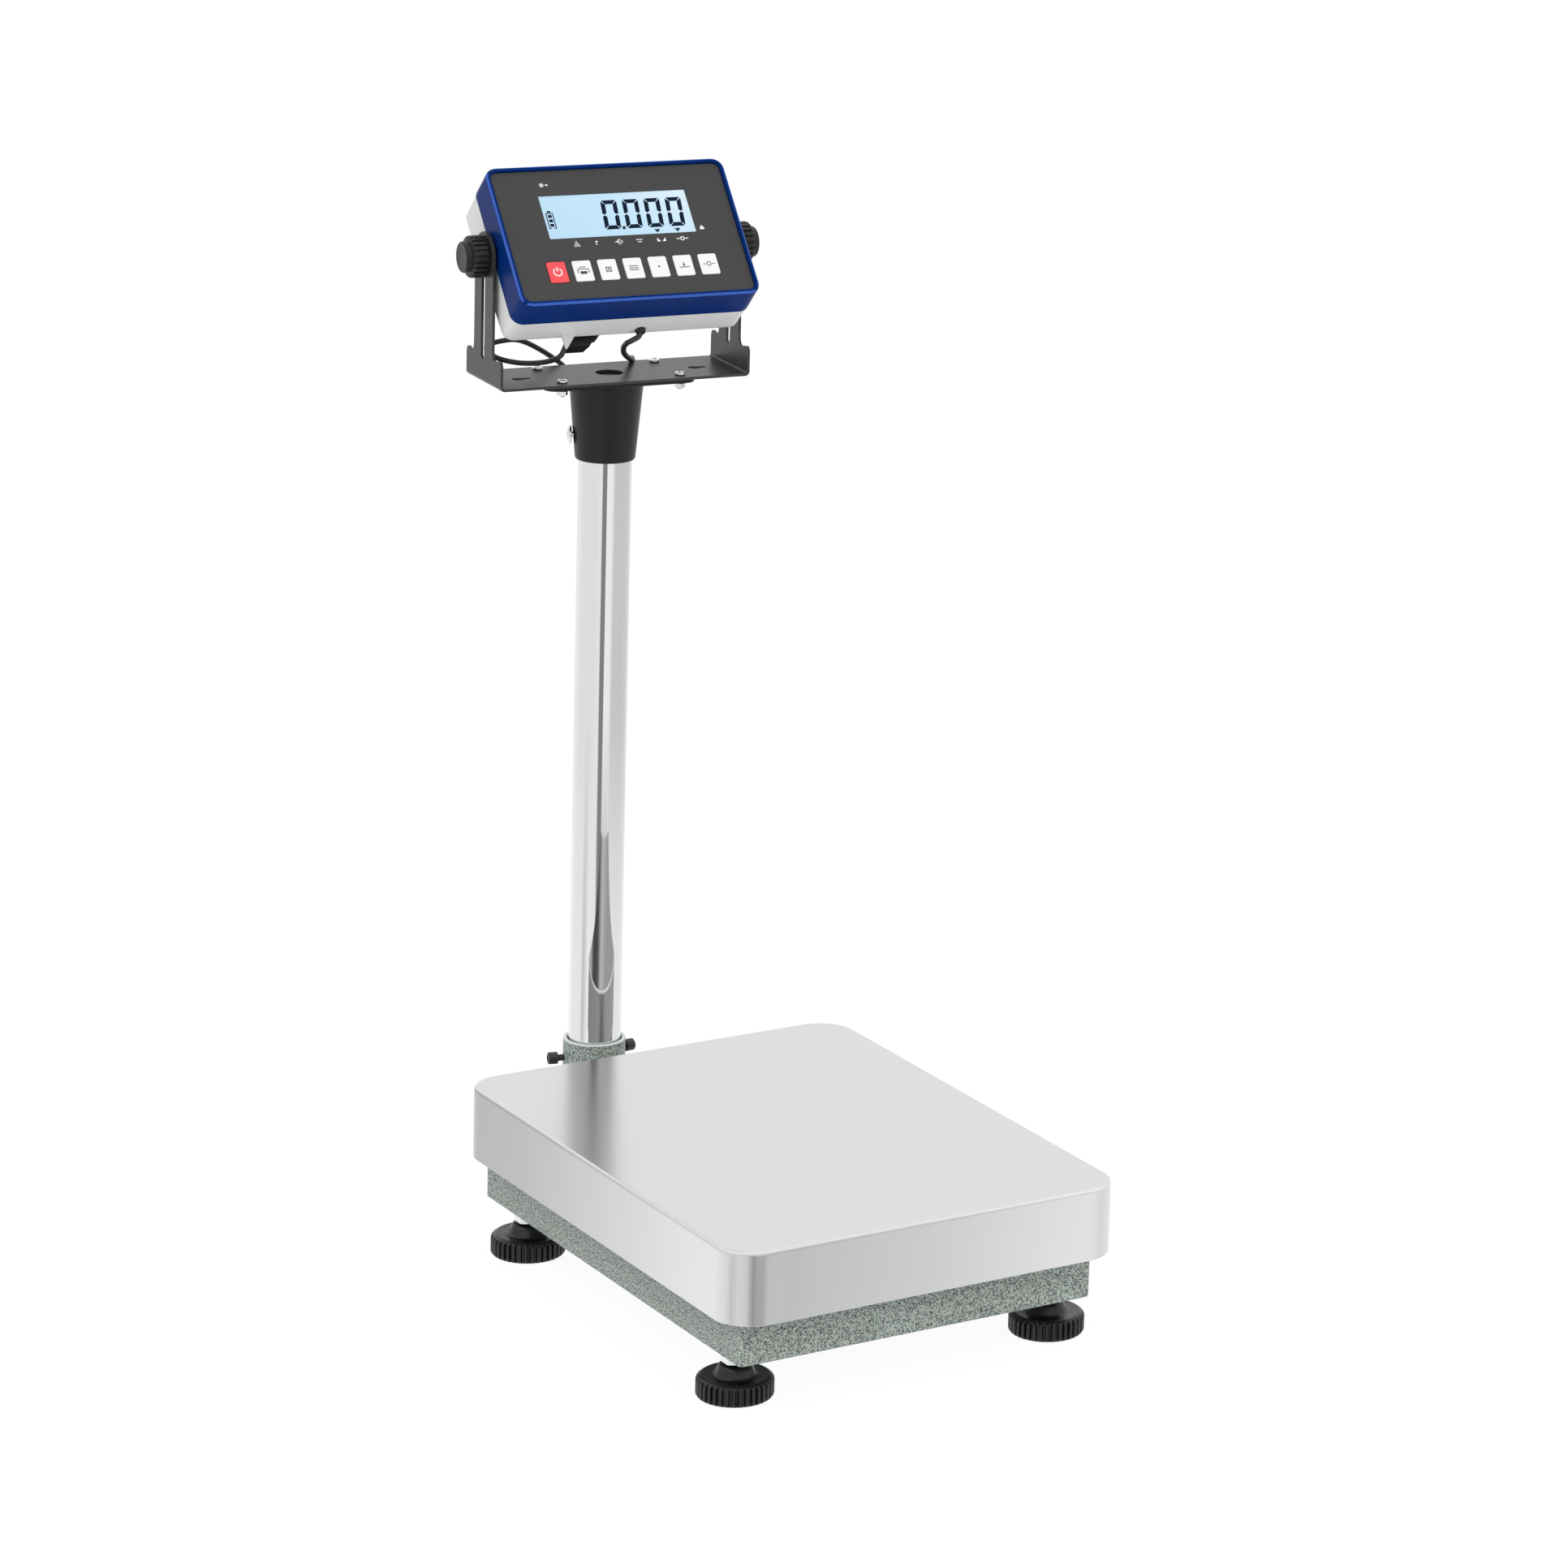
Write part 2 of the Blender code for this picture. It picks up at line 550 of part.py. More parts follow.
def arm_shoulder(side):
    """(y, z) from the narrow arm out to the sheet edge; side is -1 front, 1 back."""
    edge = ARM_Y + side * ARM_HALF_W
    return [(edge + side * 0.0004, 0.6200), (edge + side * 0.0022, 0.6160),
            (edge + side * 0.0045, 0.6150), (side * 0.0295, 0.6166), (side * 0.0313, 0.6160),
            (side * 0.0326, 0.6142), (side * 0.0331, 0.6115), (side * 0.0365, 0.6110)]


def build_bracket():
    """U of bent sheet; its arms narrow above the shoulders and have rounded tops."""
    bracket = piece("indicator_bracket",
                    prism(bracket_profile(), -BRACKET_HALF_D, BRACKET_HALF_D, at_y),
                    BLACK_PAINT, (0, 0, BRACKET_BOTTOM), BRACKET_FRAME)
    waste = (arm_shoulder(1) + [(0.0365, 0.7200), (-0.0365, 0.7200)]
             + list(reversed(arm_shoulder(-1)))
             + arc(ARM_Y, PIVOT_Z, ARM_HALF_W, 180, 0, 18))
    cut(bracket, prism(waste, -0.12, 0.12, at_x), "arms", BRACKET_FRAME)
    slot = (arc(PIVOT_Y, SLOT_TOP_Z, SLOT_HALF_W, 0, 180, 6)
            + arc(PIVOT_Y, SLOT_BOTTOM_Z, SLOT_HALF_W, 180, 360, 6))
    cut(bracket, prism(slot, -0.12, 0.12, at_x), "slots", BRACKET_FRAME)
    holes = [rod(0.0098, 0.59, 0.60, 32, shift(0, -0.001))] + screw_holes(0.59, 0.60)
    keyhole = arc(0, 0, KEYHOLE_R, 40, 320, 10) + KEYHOLE_NECK
    holes += [move(prism(keyhole, 0.59, 0.60), shift(x, KEYHOLE_Y)) for x in KEYHOLE_XS]
    cut(bracket, merge(holes), "plate_holes", BRACKET_FRAME)


def build_bracket_screws():
    """Screws down through bracket and flange, with nuts underneath."""
    seat = BRACKET_BOTTOM + SHEET + GAP
    nut_bottom, nut_top = 0.5883, FLANGE_BOTTOM - GAP
    for tag, (side_x, side_y) in CORNERS.items():
        frame = BRACKET_FRAME @ shift(side_x * SCREW_X, side_y * SCREW_Y)
        piece("bracket_screw_" + tag, turned([
            (0.0014, 0.5850), (0.0019, 0.5856), (0.0019, seat), (0.0038, seat),
            (0.0038, seat + 0.0011), (0.0031, seat + 0.0021), (0.0017, seat + 0.0026)], 16),
            CHROME, (0, 0, seat), frame)
        piece("bracket_nut_" + tag, nut(0.0070, SCREW_HOLE_R, nut_bottom, nut_top, 12),
              CHROME, (0, 0, nut_bottom), frame)


# ---------------------------------------------------------------- indicator case
CASE_W, CASE_H, CASE_R = 0.1806, 0.1145, 0.0090
FACE_Y, FACE_Z = -0.0310, -0.0037        # front rim plane and its centre, in the case frame
BEZEL_D = 0.0262
HOUSING_INSET, HOUSING_EDGE_R = 0.0010, 0.0050
# (inset from the case outline, depth behind the front rim)
BEZEL_SECTION = [
    (0.0, BEZEL_D), (0.0, 0.0022), (0.0005, 0.0009), (0.0016, 0.0), (0.0029, 0.0),
    (0.0035, 0.0007), (0.0035, 0.0033), (0.0083, 0.0033), (0.0083, 0.0055),
    (0.0027, 0.0055), (0.0027, BEZEL_D)]
FIN_OUTLINE = [(-0.0475, -0.0587), (-0.0360, -0.0587), (-0.0452, -0.0708), (-0.0470, -0.0708)]
DISPLAY_Z, DISPLAY_W, DISPLAY_H = FACE_Z + 0.0150, 0.1108, 0.0360
BUTTON_Z, BUTTON_PITCH = FACE_Z - 0.0306, 0.0190
BUTTON_W, BUTTON_H = 0.0138, 0.0169
BUTTON_FRONT = 0.0013                    # depth behind the front rim
FIT = 0.0007                             # opening size minus the size of what fills it
BUTTONS = ["button_1_power", "button_2_print", "button_3_count", "button_4_mode",
           "button_5_point", "button_6_tare", "button_7_zero"]
BUTTON_XS = [(k - 3) * BUTTON_PITCH for k in range(len(BUTTONS))]


def case_outline(inset):
    return rounded_rect(CASE_W - 2 * inset, CASE_H - 2 * inset, max(CASE_R - inset, 0.0008), 6,
                        0, FACE_Z)


def case_loop(inset, depth):
    return at_y(case_outline(inset), FACE_Y + depth)


def rear_loop(inset, forward):
    """Loop a distance forward of the sloping rear plane, which lies further back at the top."""
    return [(x, FACE_Y + 0.0555 + 0.060 * (z - FACE_Z) - forward, z)
            for x, z in case_outline(inset)]


def case_plate(width, height, radius, steps, front, back, x=0.0, z=FACE_Z):
    """Rounded plate between two depths behind the front rim."""
    outline = rounded_rect(width, height, radius, steps, x, z)
    return prism(outline, FACE_Y + front, FACE_Y + back, at_y)


def build_bezel():
    loops = [case_loop(inset, depth) for inset, depth in BEZEL_SECTION]
    piece("front_bezel", loft(loops, True), BLUE, frame=CASE_FRAME)


def build_housing():
    """Hollow shell, lofted from its inner back to the front edge and over the outside."""
    front = BEZEL_D + GAP
    loops = [rear_loop(0.0085, 0.0026), rear_loop(0.0055, 0.0032), rear_loop(0.0036, 0.0062),
             case_loop(0.0031, front), case_loop(0.0006, front),
             rear_loop(HOUSING_INSET, HOUSING_EDGE_R)]
    for degrees in (30, 60, 90):
        angle = math.radians(degrees)
        loops.append(rear_loop(HOUSING_INSET + HOUSING_EDGE_R * (1 - math.cos(angle)),
                               HOUSING_EDGE_R * (1 - math.sin(angle))))
    housing = piece("rear_housing", loft(loops), LIGHT_GREY, frame=CASE_FRAME)
    add(housing, prism(FIN_OUTLINE, 0.0134, 0.0158, at_y), "fin", CASE_FRAME)
    openings = [rod(0.0029, -0.1, 0.1, 16, along((1, 0, 0))),
                box(-0.0360, -0.0200, 0.0100, 0.0300, -0.0490, -0.0420)]
    cut(housing, merge(openings), "openings", CASE_FRAME)


def build_panel():
    panel = piece("front_panel", case_plate(0.1730, 0.1069, 0.0050, 5, 0.0018, 0.0030),
                  PANEL_GREY, frame=CASE_FRAME)
    openings = [case_plate(DISPLAY_W, DISPLAY_H, 0.0006, 2, 0, 0.006, z=DISPLAY_Z)]
    openings += [case_plate(BUTTON_W + FIT, BUTTON_H + FIT, 0.0015, 3, 0, 0.006, x, BUTTON_Z)
                 for x in BUTTON_XS]
    cut(panel, merge(openings), "openings", CASE_FRAME)


def build_display():
    window = case_plate(DISPLAY_W - FIT, DISPLAY_H - FIT, 0.0004, 2, 0.0021, 0.0030, z=DISPLAY_Z)
    piece("display_window", window, CLEAR_WINDOW, frame=CASE_FRAME)
    module = case_plate(0.1180, 0.0420, 0.0010, 2, 0.0036, 0.0105, z=DISPLAY_Z)
    piece("display_module", module, DISPLAY_BLUE, frame=CASE_FRAME)


def build_buttons():
    chamfer = 0.0007                     # taken off the width and height at the front
    for name, x in zip(BUTTONS, BUTTON_XS):
        body = rounded_rect(BUTTON_W, BUTTON_H, 0.0012, 3, x, BUTTON_Z)
        front = rounded_rect(BUTTON_W - chamfer, BUTTON_H - chamfer, 0.0010, 3, x, BUTTON_Z)
        button = loft([at_y(body, FACE_Y + 0.0080), at_y(body, FACE_Y + 0.0016),
                       at_y(front, FACE_Y + BUTTON_FRONT)])
        piece(name, button, RED if name == "button_1_power" else WHITE,
              (x, FACE_Y + BUTTON_FRONT, BUTTON_Z), CASE_FRAME)


def build_case_contents():
    piece("main_board", case_plate(0.1500, 0.0880, 0.0020, 2, 0.0140, 0.0156),
          BOARD_GREEN, frame=CASE_FRAME)
    battery = case_plate(0.0900, 0.0480, 0.0030, 3, 0.0262, 0.0452, z=FACE_Z + 0.006)
    piece("battery_pack", battery, BATTERY_BLUE, frame=CASE_FRAME)


# ---------------------------------------------------------------- knobs, plug and cables
KNOB_RIBS = 20
# (x, z) in the case frame
PLUG_OUTLINE = [
    (-0.0376, -0.0550), (-0.0408, -0.0625), (-0.0392, -0.0640), (-0.0266, -0.0640),
    (-0.0205, -0.0597), (-0.0207, -0.0575), (-0.0159, -0.0562), (-0.0097, -0.0500),
    (-0.0120, -0.0460), (-0.0376, -0.0460)]
PLUG_FRONT, PLUG_BACK = 0.0236, 0.0335
CELL_CABLE_R, POWER_LEAD_R = 0.0019, 0.0020
# (x, y, z) stations of each cord in turn, grouped by the frame they are given in
CELL_CABLE_ROUTE = [
    (CASE_FRAME, [(-0.0433, 0.0285, -0.0600)]),
    (HEAD_FRAME, [
        (-0.0425, -0.0178, 0.6153), (-0.0479, -0.0100, 0.6103), (-0.0575, -0.0020, 0.6078),
        (-0.0676, 0.0050, 0.6077), (-0.0781, 0.0110, 0.6102), (-0.0835, 0.0170, 0.6142),
        (-0.0815, 0.0210, 0.6178), (-0.0731, 0.0240, 0.6192), (-0.0600, 0.0280, 0.6191),
        (-0.0498, 0.0310, 0.6161), (-0.0377, 0.0350, 0.6096), (-0.0260, 0.0385, 0.6020),
        (-0.0159, 0.0400, 0.5939), (-0.0020, 0.0405, 0.5790)]),
    (COLUMN_FRAME, [
        (0.0130, 0.0345, 0.5600), (0.0165, 0.0255, 0.5250), (0.0152, 0.0215, 0.4800),
        (0.0152, 0.0215, 0.3600), (0.0152, 0.0215, 0.2400), (0.0152, 0.0215, 0.1300),
        (0.0172, 0.0225, 0.0900), (0.0260, 0.0215, 0.0670), (0.0350, 0.0080, 0.0560),
        (0.0385, -0.0200, 0.0490), (0.0380, -0.0600, 0.0460)]),
    (IDENTITY, [
        (CABLE_HOLE_X, 0.1950, CABLE_HOLE_Z), (CABLE_HOLE_X, 0.1700, CABLE_HOLE_Z),
        (0.0380, 0.1300, 0.0470), (0.0375, 0.0900, 0.0520), (0.0330, 0.0650, 0.0560),
        (0.0206, 0.0580, 0.0582)])]
POWER_LEAD_ROUTE = [
    (CASE_FRAME, [(0.0115, 0.0130, -0.0634), (0.0098, 0.0190, -0.0646)]),
    (HEAD_FRAME, [
        (0.0090, -0.0218, 0.6238), (0.0113, -0.0080, 0.6171), (0.0187, 0.0100, 0.6073),
        (0.0270, 0.0240, 0.6016), (0.0330, 0.0345, 0.5996), (0.0362, 0.0395, 0.5930),
        (0.0330, 0.0425, 0.5830), (0.0270, 0.0440, 0.5700), (0.0200, 0.0445, 0.5590)])]


def knob_shape():
    """Threaded shank pointing inwards, ribbed grip and a raised cap, outwards along +Z."""
    sides = 2 * KNOB_RIBS
    grip = ribbed(0.0150, 0.0138, KNOB_RIBS)
    seat = BRACKET_HALF_W
    return stack([
        (circle(0.0019, sides), 0.0790), (circle(0.0025, sides), 0.0796),
        (circle(0.0025, sides), seat + GAP), (circle(0.0128, sides), seat + GAP),
        (grip, seat + 0.0012), (grip, seat + 0.0110),
        (circle(0.0122, sides), seat + 0.0120), (circle(0.0112, sides), seat + 0.0122),
        (circle(0.0112, sides), seat + 0.0158), (circle(0.0104, sides), seat + 0.0166)])


def build_pivots():
    """Washer between case and arm, and knob outside the arm, on both sides."""
    washer_outer = BRACKET_HALF_W - SHEET - GAP
    washer_inner = washer_outer - 0.0015
    for place, side in (("left", -1), ("right", 1)):
        frame = CASE_FRAME @ along((side, 0, 0))
        piece("pivot_washer_" + place,
              tube_shape(0.0080, 0.0030, washer_inner, washer_outer, 20),
              BLACK_PLASTIC, (0, 0, washer_inner), frame)
        piece("side_knob_" + place, knob_shape(), BLACK_PLASTIC, (0, 0, BRACKET_HALF_W), frame)


def build_plug():
    """Connector on the rear face, its body hanging below it and its nose reaching forward."""
    plug = piece("cell_plug", prism(PLUG_OUTLINE, PLUG_FRONT, PLUG_BACK, at_y),
                 BLACK_PLASTIC, (-0.028, PLUG_FRONT, -0.0455), CASE_FRAME)
    add(plug, box(-0.0355, -0.0205, 0.0175, 0.0240, -0.0485, -0.0465), "nose", CASE_FRAME)


def cord_points(route):
    return [frame @ Vector(point) for frame, points in route for point in points]


def build_cables():
    cable = cord_points(CELL_CABLE_ROUTE)
    piece("cell_cable", sweep(smooth_curve(cable), CELL_CABLE_R), BLACK_PLASTIC)
    lead = cord_points(POWER_LEAD_ROUTE)
    piece("power_lead", sweep(smooth_curve(lead), POWER_LEAD_R), BLACK_PLASTIC, lead[0])


# ---------------------------------------------------------------- build
for build in (build_base, build_load_cell, build_base_bolts,
              build_spider, build_spider_bolts, build_tray_pads, build_tray, build_feet,
              build_socket, build_socket_screws, build_column,
              build_adapter, build_adapter_screw, build_bracket, build_bracket_screws,
              build_bezel, build_housing, build_panel, build_display, build_buttons,
              build_case_contents, build_pivots, build_plug, build_cables):
    build()
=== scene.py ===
# Bench scale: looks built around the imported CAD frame.
import json
import math

import bpy
import bmesh
from mathutils import Matrix, Vector


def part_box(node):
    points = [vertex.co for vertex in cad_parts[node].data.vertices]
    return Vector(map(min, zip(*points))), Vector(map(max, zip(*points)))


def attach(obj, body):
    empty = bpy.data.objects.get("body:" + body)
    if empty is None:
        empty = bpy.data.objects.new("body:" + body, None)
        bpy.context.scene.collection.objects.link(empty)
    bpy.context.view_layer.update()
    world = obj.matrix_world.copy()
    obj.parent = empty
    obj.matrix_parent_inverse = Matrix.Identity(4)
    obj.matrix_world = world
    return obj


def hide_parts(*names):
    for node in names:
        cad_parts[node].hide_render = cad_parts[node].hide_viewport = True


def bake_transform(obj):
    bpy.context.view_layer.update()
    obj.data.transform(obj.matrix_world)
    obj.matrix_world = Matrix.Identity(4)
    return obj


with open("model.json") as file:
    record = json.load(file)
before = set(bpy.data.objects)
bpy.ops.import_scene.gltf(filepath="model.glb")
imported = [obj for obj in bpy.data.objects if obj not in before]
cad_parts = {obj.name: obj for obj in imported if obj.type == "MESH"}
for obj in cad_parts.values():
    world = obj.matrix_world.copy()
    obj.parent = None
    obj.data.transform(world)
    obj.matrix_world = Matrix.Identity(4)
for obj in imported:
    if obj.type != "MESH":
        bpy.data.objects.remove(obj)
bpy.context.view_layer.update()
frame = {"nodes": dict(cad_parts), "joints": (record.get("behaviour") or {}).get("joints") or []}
NODES = frame["nodes"]
JOINTS = {j["name"]: j for j in frame["joints"]}
ID = Matrix.Identity(4)

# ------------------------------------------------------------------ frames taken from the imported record
t_lo, t_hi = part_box("platform_tray")
TY = (t_lo.y + t_hi.y) / 2                       # middle of the tray
AX = Vector(JOINTS["column_swivel"]["pos_m"])    # column axis
AX.z = 0.0
PIV = Vector(JOINTS["indicator_tilt"]["pos_m"])
EX = Vector(JOINTS["indicator_tilt"]["axis"]).normalized()
EZ = Vector((0, 0, 1))
EY = EZ.cross(EX).normalized()
INW = Vector(JOINTS["key_4_mode_press"]["axis"]).normalized()
UPW = EX.cross(INW).normalized()


def basis(x, y, z, o):
    return Matrix(((x.x, y.x, z.x, o.x), (x.y, y.y, z.y, o.y), (x.z, y.z, z.z, o.z), (0, 0, 0, 1)))


BASE = Matrix.Translation((0, TY, 0))
COLM = Matrix.Translation(AX)
HEAD = basis(EX, EY, EZ, AX)
IND = basis(EX, INW, UPW, PIV)
TOP = HEAD @ Matrix.Translation(((PIV - AX).dot(EX), 0, 0))     # flange and bracket are centred on the indicator

# ------------------------------------------------------------------ sizes
TRAY_W, TRAY_D, TRAY_TOP = t_hi.x - t_lo.x, t_hi.y - t_lo.y, t_hi.z
TRAY_BOT = t_lo.z
TRAY_R, TRAY_T = 0.0267, 0.0012
b_lo, b_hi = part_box("base_frame")
BASE_W, BASE_D, BASE_BOT, BASE_TOP = b_hi.x - b_lo.x, b_hi.y - b_lo.y, b_lo.z, b_hi.z
BASE_CY = (b_lo.y + b_hi.y) / 2 - TY
FACE_Y, FACE_U = -0.0310, -0.0037
IND_W, IND_H, IND_R, BEZEL_D = 0.1806, 0.1145, 0.0090, 0.0262
BR_A, BR_B, BR_Z0, SHEET = 0.0945, 0.0330, 0.5952, 0.0020
PIVOT_Z, ARM_B0, ARM_BH = 0.6862, 0.0015, 0.0175
GAP = 0.0003


# ================================================================== materials
def new_mat(name, color=(0.5, 0.5, 0.5), rough=0.5, metal=0.0, spec=None):
    m = bpy.data.materials.new(name)
    m.use_nodes = True
    nt = m.node_tree
    b = nt.nodes["Principled BSDF"]
    b.inputs["Base Color"].default_value = (*color, 1)
    b.inputs["Roughness"].default_value = rough
    b.inputs["Metallic"].default_value = metal
    if spec is not None:
        b.inputs["Specular IOR Level"].default_value = spec
    return m, nt, b


def node(nt, kind, **kw):
    n = nt.nodes.new(kind)
    for k, v in kw.items():
        if hasattr(n, k):
            setattr(n, k, v)
        else:
            n.inputs[k].default_value = v
    return n


def link(nt, a, b):
    nt.links.new(a, b)


def coords(nt, scale=(1, 1, 1), rot=(0, 0, 0)):
    tc = node(nt, "ShaderNodeTexCoord")
    mp = node(nt, "ShaderNodeMapping")
    mp.inputs["Scale"].default_value = scale
    mp.inputs["Rotation"].default_value = rot
    link(nt, tc.outputs["Object"], mp.inputs["Vector"])
    return mp.outputs["Vector"]


def noise(nt, vec, scale, detail=2.0, rough=0.5, dist=0.0):
    n = node(nt, "ShaderNodeTexNoise")
    n.inputs["Scale"].default_value = scale
    n.inputs["Detail"].default_value = detail
    n.inputs["Roughness"].default_value = rough
    n.inputs["Distortion"].default_value = dist
    if vec is not None:
        link(nt, vec, n.inputs["Vector"])
    return n.outputs["Fac"]


def ramp(nt, fac, stops, interp="LINEAR"):
    r = node(nt, "ShaderNodeValToRGB")
    cr = r.color_ramp
    cr.interpolation = interp
    while len(cr.elements) < len(stops):
        cr.elements.new(0.5)
    for e, (p, c) in zip(cr.elements, sorted(stops, key=lambda s: s[0])):
        e.position = p
        e.color = (c, c, c, 1) if isinstance(c, (int, float)) else (*c, 1)
    if fac is not None:
        link(nt, fac, r.inputs["Fac"])
    return r.outputs["Color"]


def maths(nt, op, a, b=None, c=None, clamp=False):
    n = node(nt, "ShaderNodeMath")
    n.operation = op
    n.use_clamp = clamp
    for i, v in enumerate((a, b, c)):
        if v is None:
            continue
        if isinstance(v, (int, float)):
            n.inputs[i].default_value = v
        else:
            link(nt, v, n.inputs[i])
    return n.outputs[0]


def mix(nt, fac, a, b, kind="MIX"):
    n = node(nt, "ShaderNodeMix")
    n.data_type = "RGBA"
    n.blend_type = kind
    fi, ai, bi = n.inputs[0], n.inputs[6], n.inputs[7]
    for s, v in ((fi, fac), (ai, a), (bi, b)):
        if isinstance(v, (int, float)):
            s.default_value = v if s is fi else (v, v, v, 1)
        elif isinstance(v, tuple):
            s.default_value = (*v, 1)
        else:
            link(nt, v, s)
    return n.outputs[2]


def bump(nt, b, height, strength=0.1, dist=0.0002):
    n = node(nt, "ShaderNodeBump")
    n.inputs["Strength"].default_value = strength
    n.inputs["Distance"].default_value = dist
    link(nt, height, n.inputs["Height"])
    link(nt, n.outputs["Normal"], b.inputs["Normal"])
    return n


def plastic(name, color, rough, var=0.06, grain=2600, strength=0.08, spec=None, dist=0.00006):
    """Moulded plastic: faint tone drift, fine moulded grain, roughness that wanders a little."""
    m, nt, b = new_mat(name, color, rough, 0.0, spec)
    v = coords(nt)
    big = noise(nt, v, 28, 3)
    lo = tuple(c * (1 - var) for c in color)
    hi = tuple(min(c * (1 + var), 1) for c in color)
    link(nt, mix(nt, ramp(nt, big, [(0.3, 0.0), (0.7, 1.0)]), lo, hi), b.inputs["Base Color"])
    fine = noise(nt, v, grain, 2)
    link(nt, maths(nt, "MULTIPLY_ADD", fine, 0.16, rough - 0.08, clamp=True), b.inputs["Roughness"])
    bump(nt, b, fine, strength, dist)
    return m


def powder(name, color, rough=0.5, strength=0.25, lift=0.04):
    """Powder coat: tiny orange-peel lumps and a dusting of lighter specks."""
    m, nt, b = new_mat(name, color, rough)
    v = coords(nt)
    fine = noise(nt, v, 1500, 3, 0.6)
    big = noise(nt, v, 60, 2)
    c2 = tuple(c * 1.22 + lift * 0.2 for c in color)
    link(nt, mix(nt, ramp(nt, maths(nt, "MULTIPLY_ADD", big, 0.5, maths(nt, "MULTIPLY", fine, 0.5)), [(0.38, 0.0), (0.62, 1.0)]), color, c2), b.inputs["Base Color"])
    link(nt, maths(nt, "MULTIPLY_ADD", fine, 0.2, rough - 0.1, clamp=True), b.inputs["Roughness"])
    bump(nt, b, fine, strength, 0.00012)
    return m


def hammertone():
    """Hammered enamel: pale grey-green lumps with short dark veins between them."""
    m, nt, b = new_mat("hammered_enamel", (0.36, 0.41, 0.38), 0.42)
    v = coords(nt)
    warp = node(nt, "ShaderNodeTexNoise")
    warp.inputs["Scale"].default_value = 600
    warp.inputs["Detail"].default_value = 1
    link(nt, v, warp.inputs["Vector"])
    add = node(nt, "ShaderNodeVectorMath", operation="MULTIPLY_ADD")
    link(nt, warp.outputs["Color"], add.inputs[0])
    add.inputs[1].default_value = (0.0015, 0.0015, 0.0015)
    link(nt, v, add.inputs[2])
    vo = node(nt, "ShaderNodeTexVoronoi")
    vo.feature = "DISTANCE_TO_EDGE"
    vo.inputs["Scale"].default_value = 930
    link(nt, add.outputs[0], vo.inputs["Vector"])
    vein = ramp(nt, vo.outputs["Distance"], [(0.0, 1.0), (0.10, 1.0), (0.18, 0.0)])
    part = ramp(nt, noise(nt, v, 820, 1.5, 0.5), [(0.45, 0.0), (0.51, 1.0)])
    mask = maths(nt, "MULTIPLY", vein, part)
    tone = ramp(nt, noise(nt, v, 340, 2), [(0.3, (0.345, 0.395, 0.360)), (0.7, (0.420, 0.475, 0.435))])
    tone2 = mix(nt, maths(nt, "MULTIPLY", ramp(nt, noise(nt, v, 22, 2), [(0.35, 0.0), (0.65, 1.0)]), 0.25), tone, (0.36, 0.40, 0.355))
    link(nt, mix(nt, mask, tone2, (0.020, 0.035, 0.031)), b.inputs["Base Color"])
    link(nt, maths(nt, "MULTIPLY_ADD", mask, 0.15, 0.40), b.inputs["Roughness"])
    h = maths(nt, "SUBTRACT", ramp(nt, vo.outputs["Distance"], [(0.0, 0.0), (0.45, 1.0)]), maths(nt, "MULTIPLY", mask, 0.6))
    bump(nt, b, h, 0.35, 0.00012)
    return m


def brushed(name, color, rough, aniso, grain_scale, tangent, streak=0.06, strength=0.05):
    """Brushed sheet: grain stretched along one direction, in tone, roughness and height."""
    m, nt, b = new_mat(name, color, rough, 1.0)
    v = coords(nt, grain_scale)
    fine = noise(nt, v, 1.0, 4, 0.65)
    v2 = coords(nt, tuple(s * 0.16 for s in grain_scale))
    wide = noise(nt, v2, 1.0, 2, 0.5)
    both = maths(nt, "MULTIPLY_ADD", fine, 0.6, maths(nt, "MULTIPLY", wide, 0.4))
    lo = tuple(c * (1 - streak) for c in color)
    hi = tuple(min(c * (1 + streak), 1) for c in color)
    link(nt, mix(nt, ramp(nt, both, [(0.36, 0.0), (0.64, 1.0)]), lo, hi), b.inputs["Base Color"])
    link(nt, maths(nt, "MULTIPLY_ADD", fine, 0.12, rough - 0.06), b.inputs["Roughness"])
    b.inputs["Anisotropic"].default_value = aniso
    tg = node(nt, "ShaderNodeCombineXYZ")
    for i, t in enumerate(tangent):
        tg.inputs[i].default_value = t
    link(nt, tg.outputs[0], b.inputs["Tangent"])
    bump(nt, b, fine, strength, 0.00003)
    return m


def chrome(name, color=(0.93, 0.93, 0.935), rough=0.035):
    m, nt, b = new_mat(name, color, rough, 1.0)
    v = coords(nt, (900, 900, 14))
    n = noise(nt, v, 1.0, 2)
    link(nt, maths(nt, "MULTIPLY_ADD", n, 0.03, rough - 0.015, clamp=True), b.inputs["Roughness"])
    link(nt, mix(nt, noise(nt, coords(nt), 45, 3), tuple(c * 0.985 for c in color), color), b.inputs["Base Color"])
    return m


def zinc(name, color=(0.62, 0.63, 0.64), rough=0.3):
    m, nt, b = new_mat(name, color, rough, 1.0)
    v = coords(nt)
    n = noise(nt, v, 700, 3, 0.6)
    link(nt, mix(nt, n, tuple(c * 0.82 for c in color), tuple(min(c * 1.1, 1) for c in color)), b.inputs["Base Color"])
    link(nt, maths(nt, "MULTIPLY_ADD", n, 0.25, rough - 0.12, clamp=True), b.inputs["Roughness"])
    bump(nt, b, n, 0.1, 0.00004)
    return m


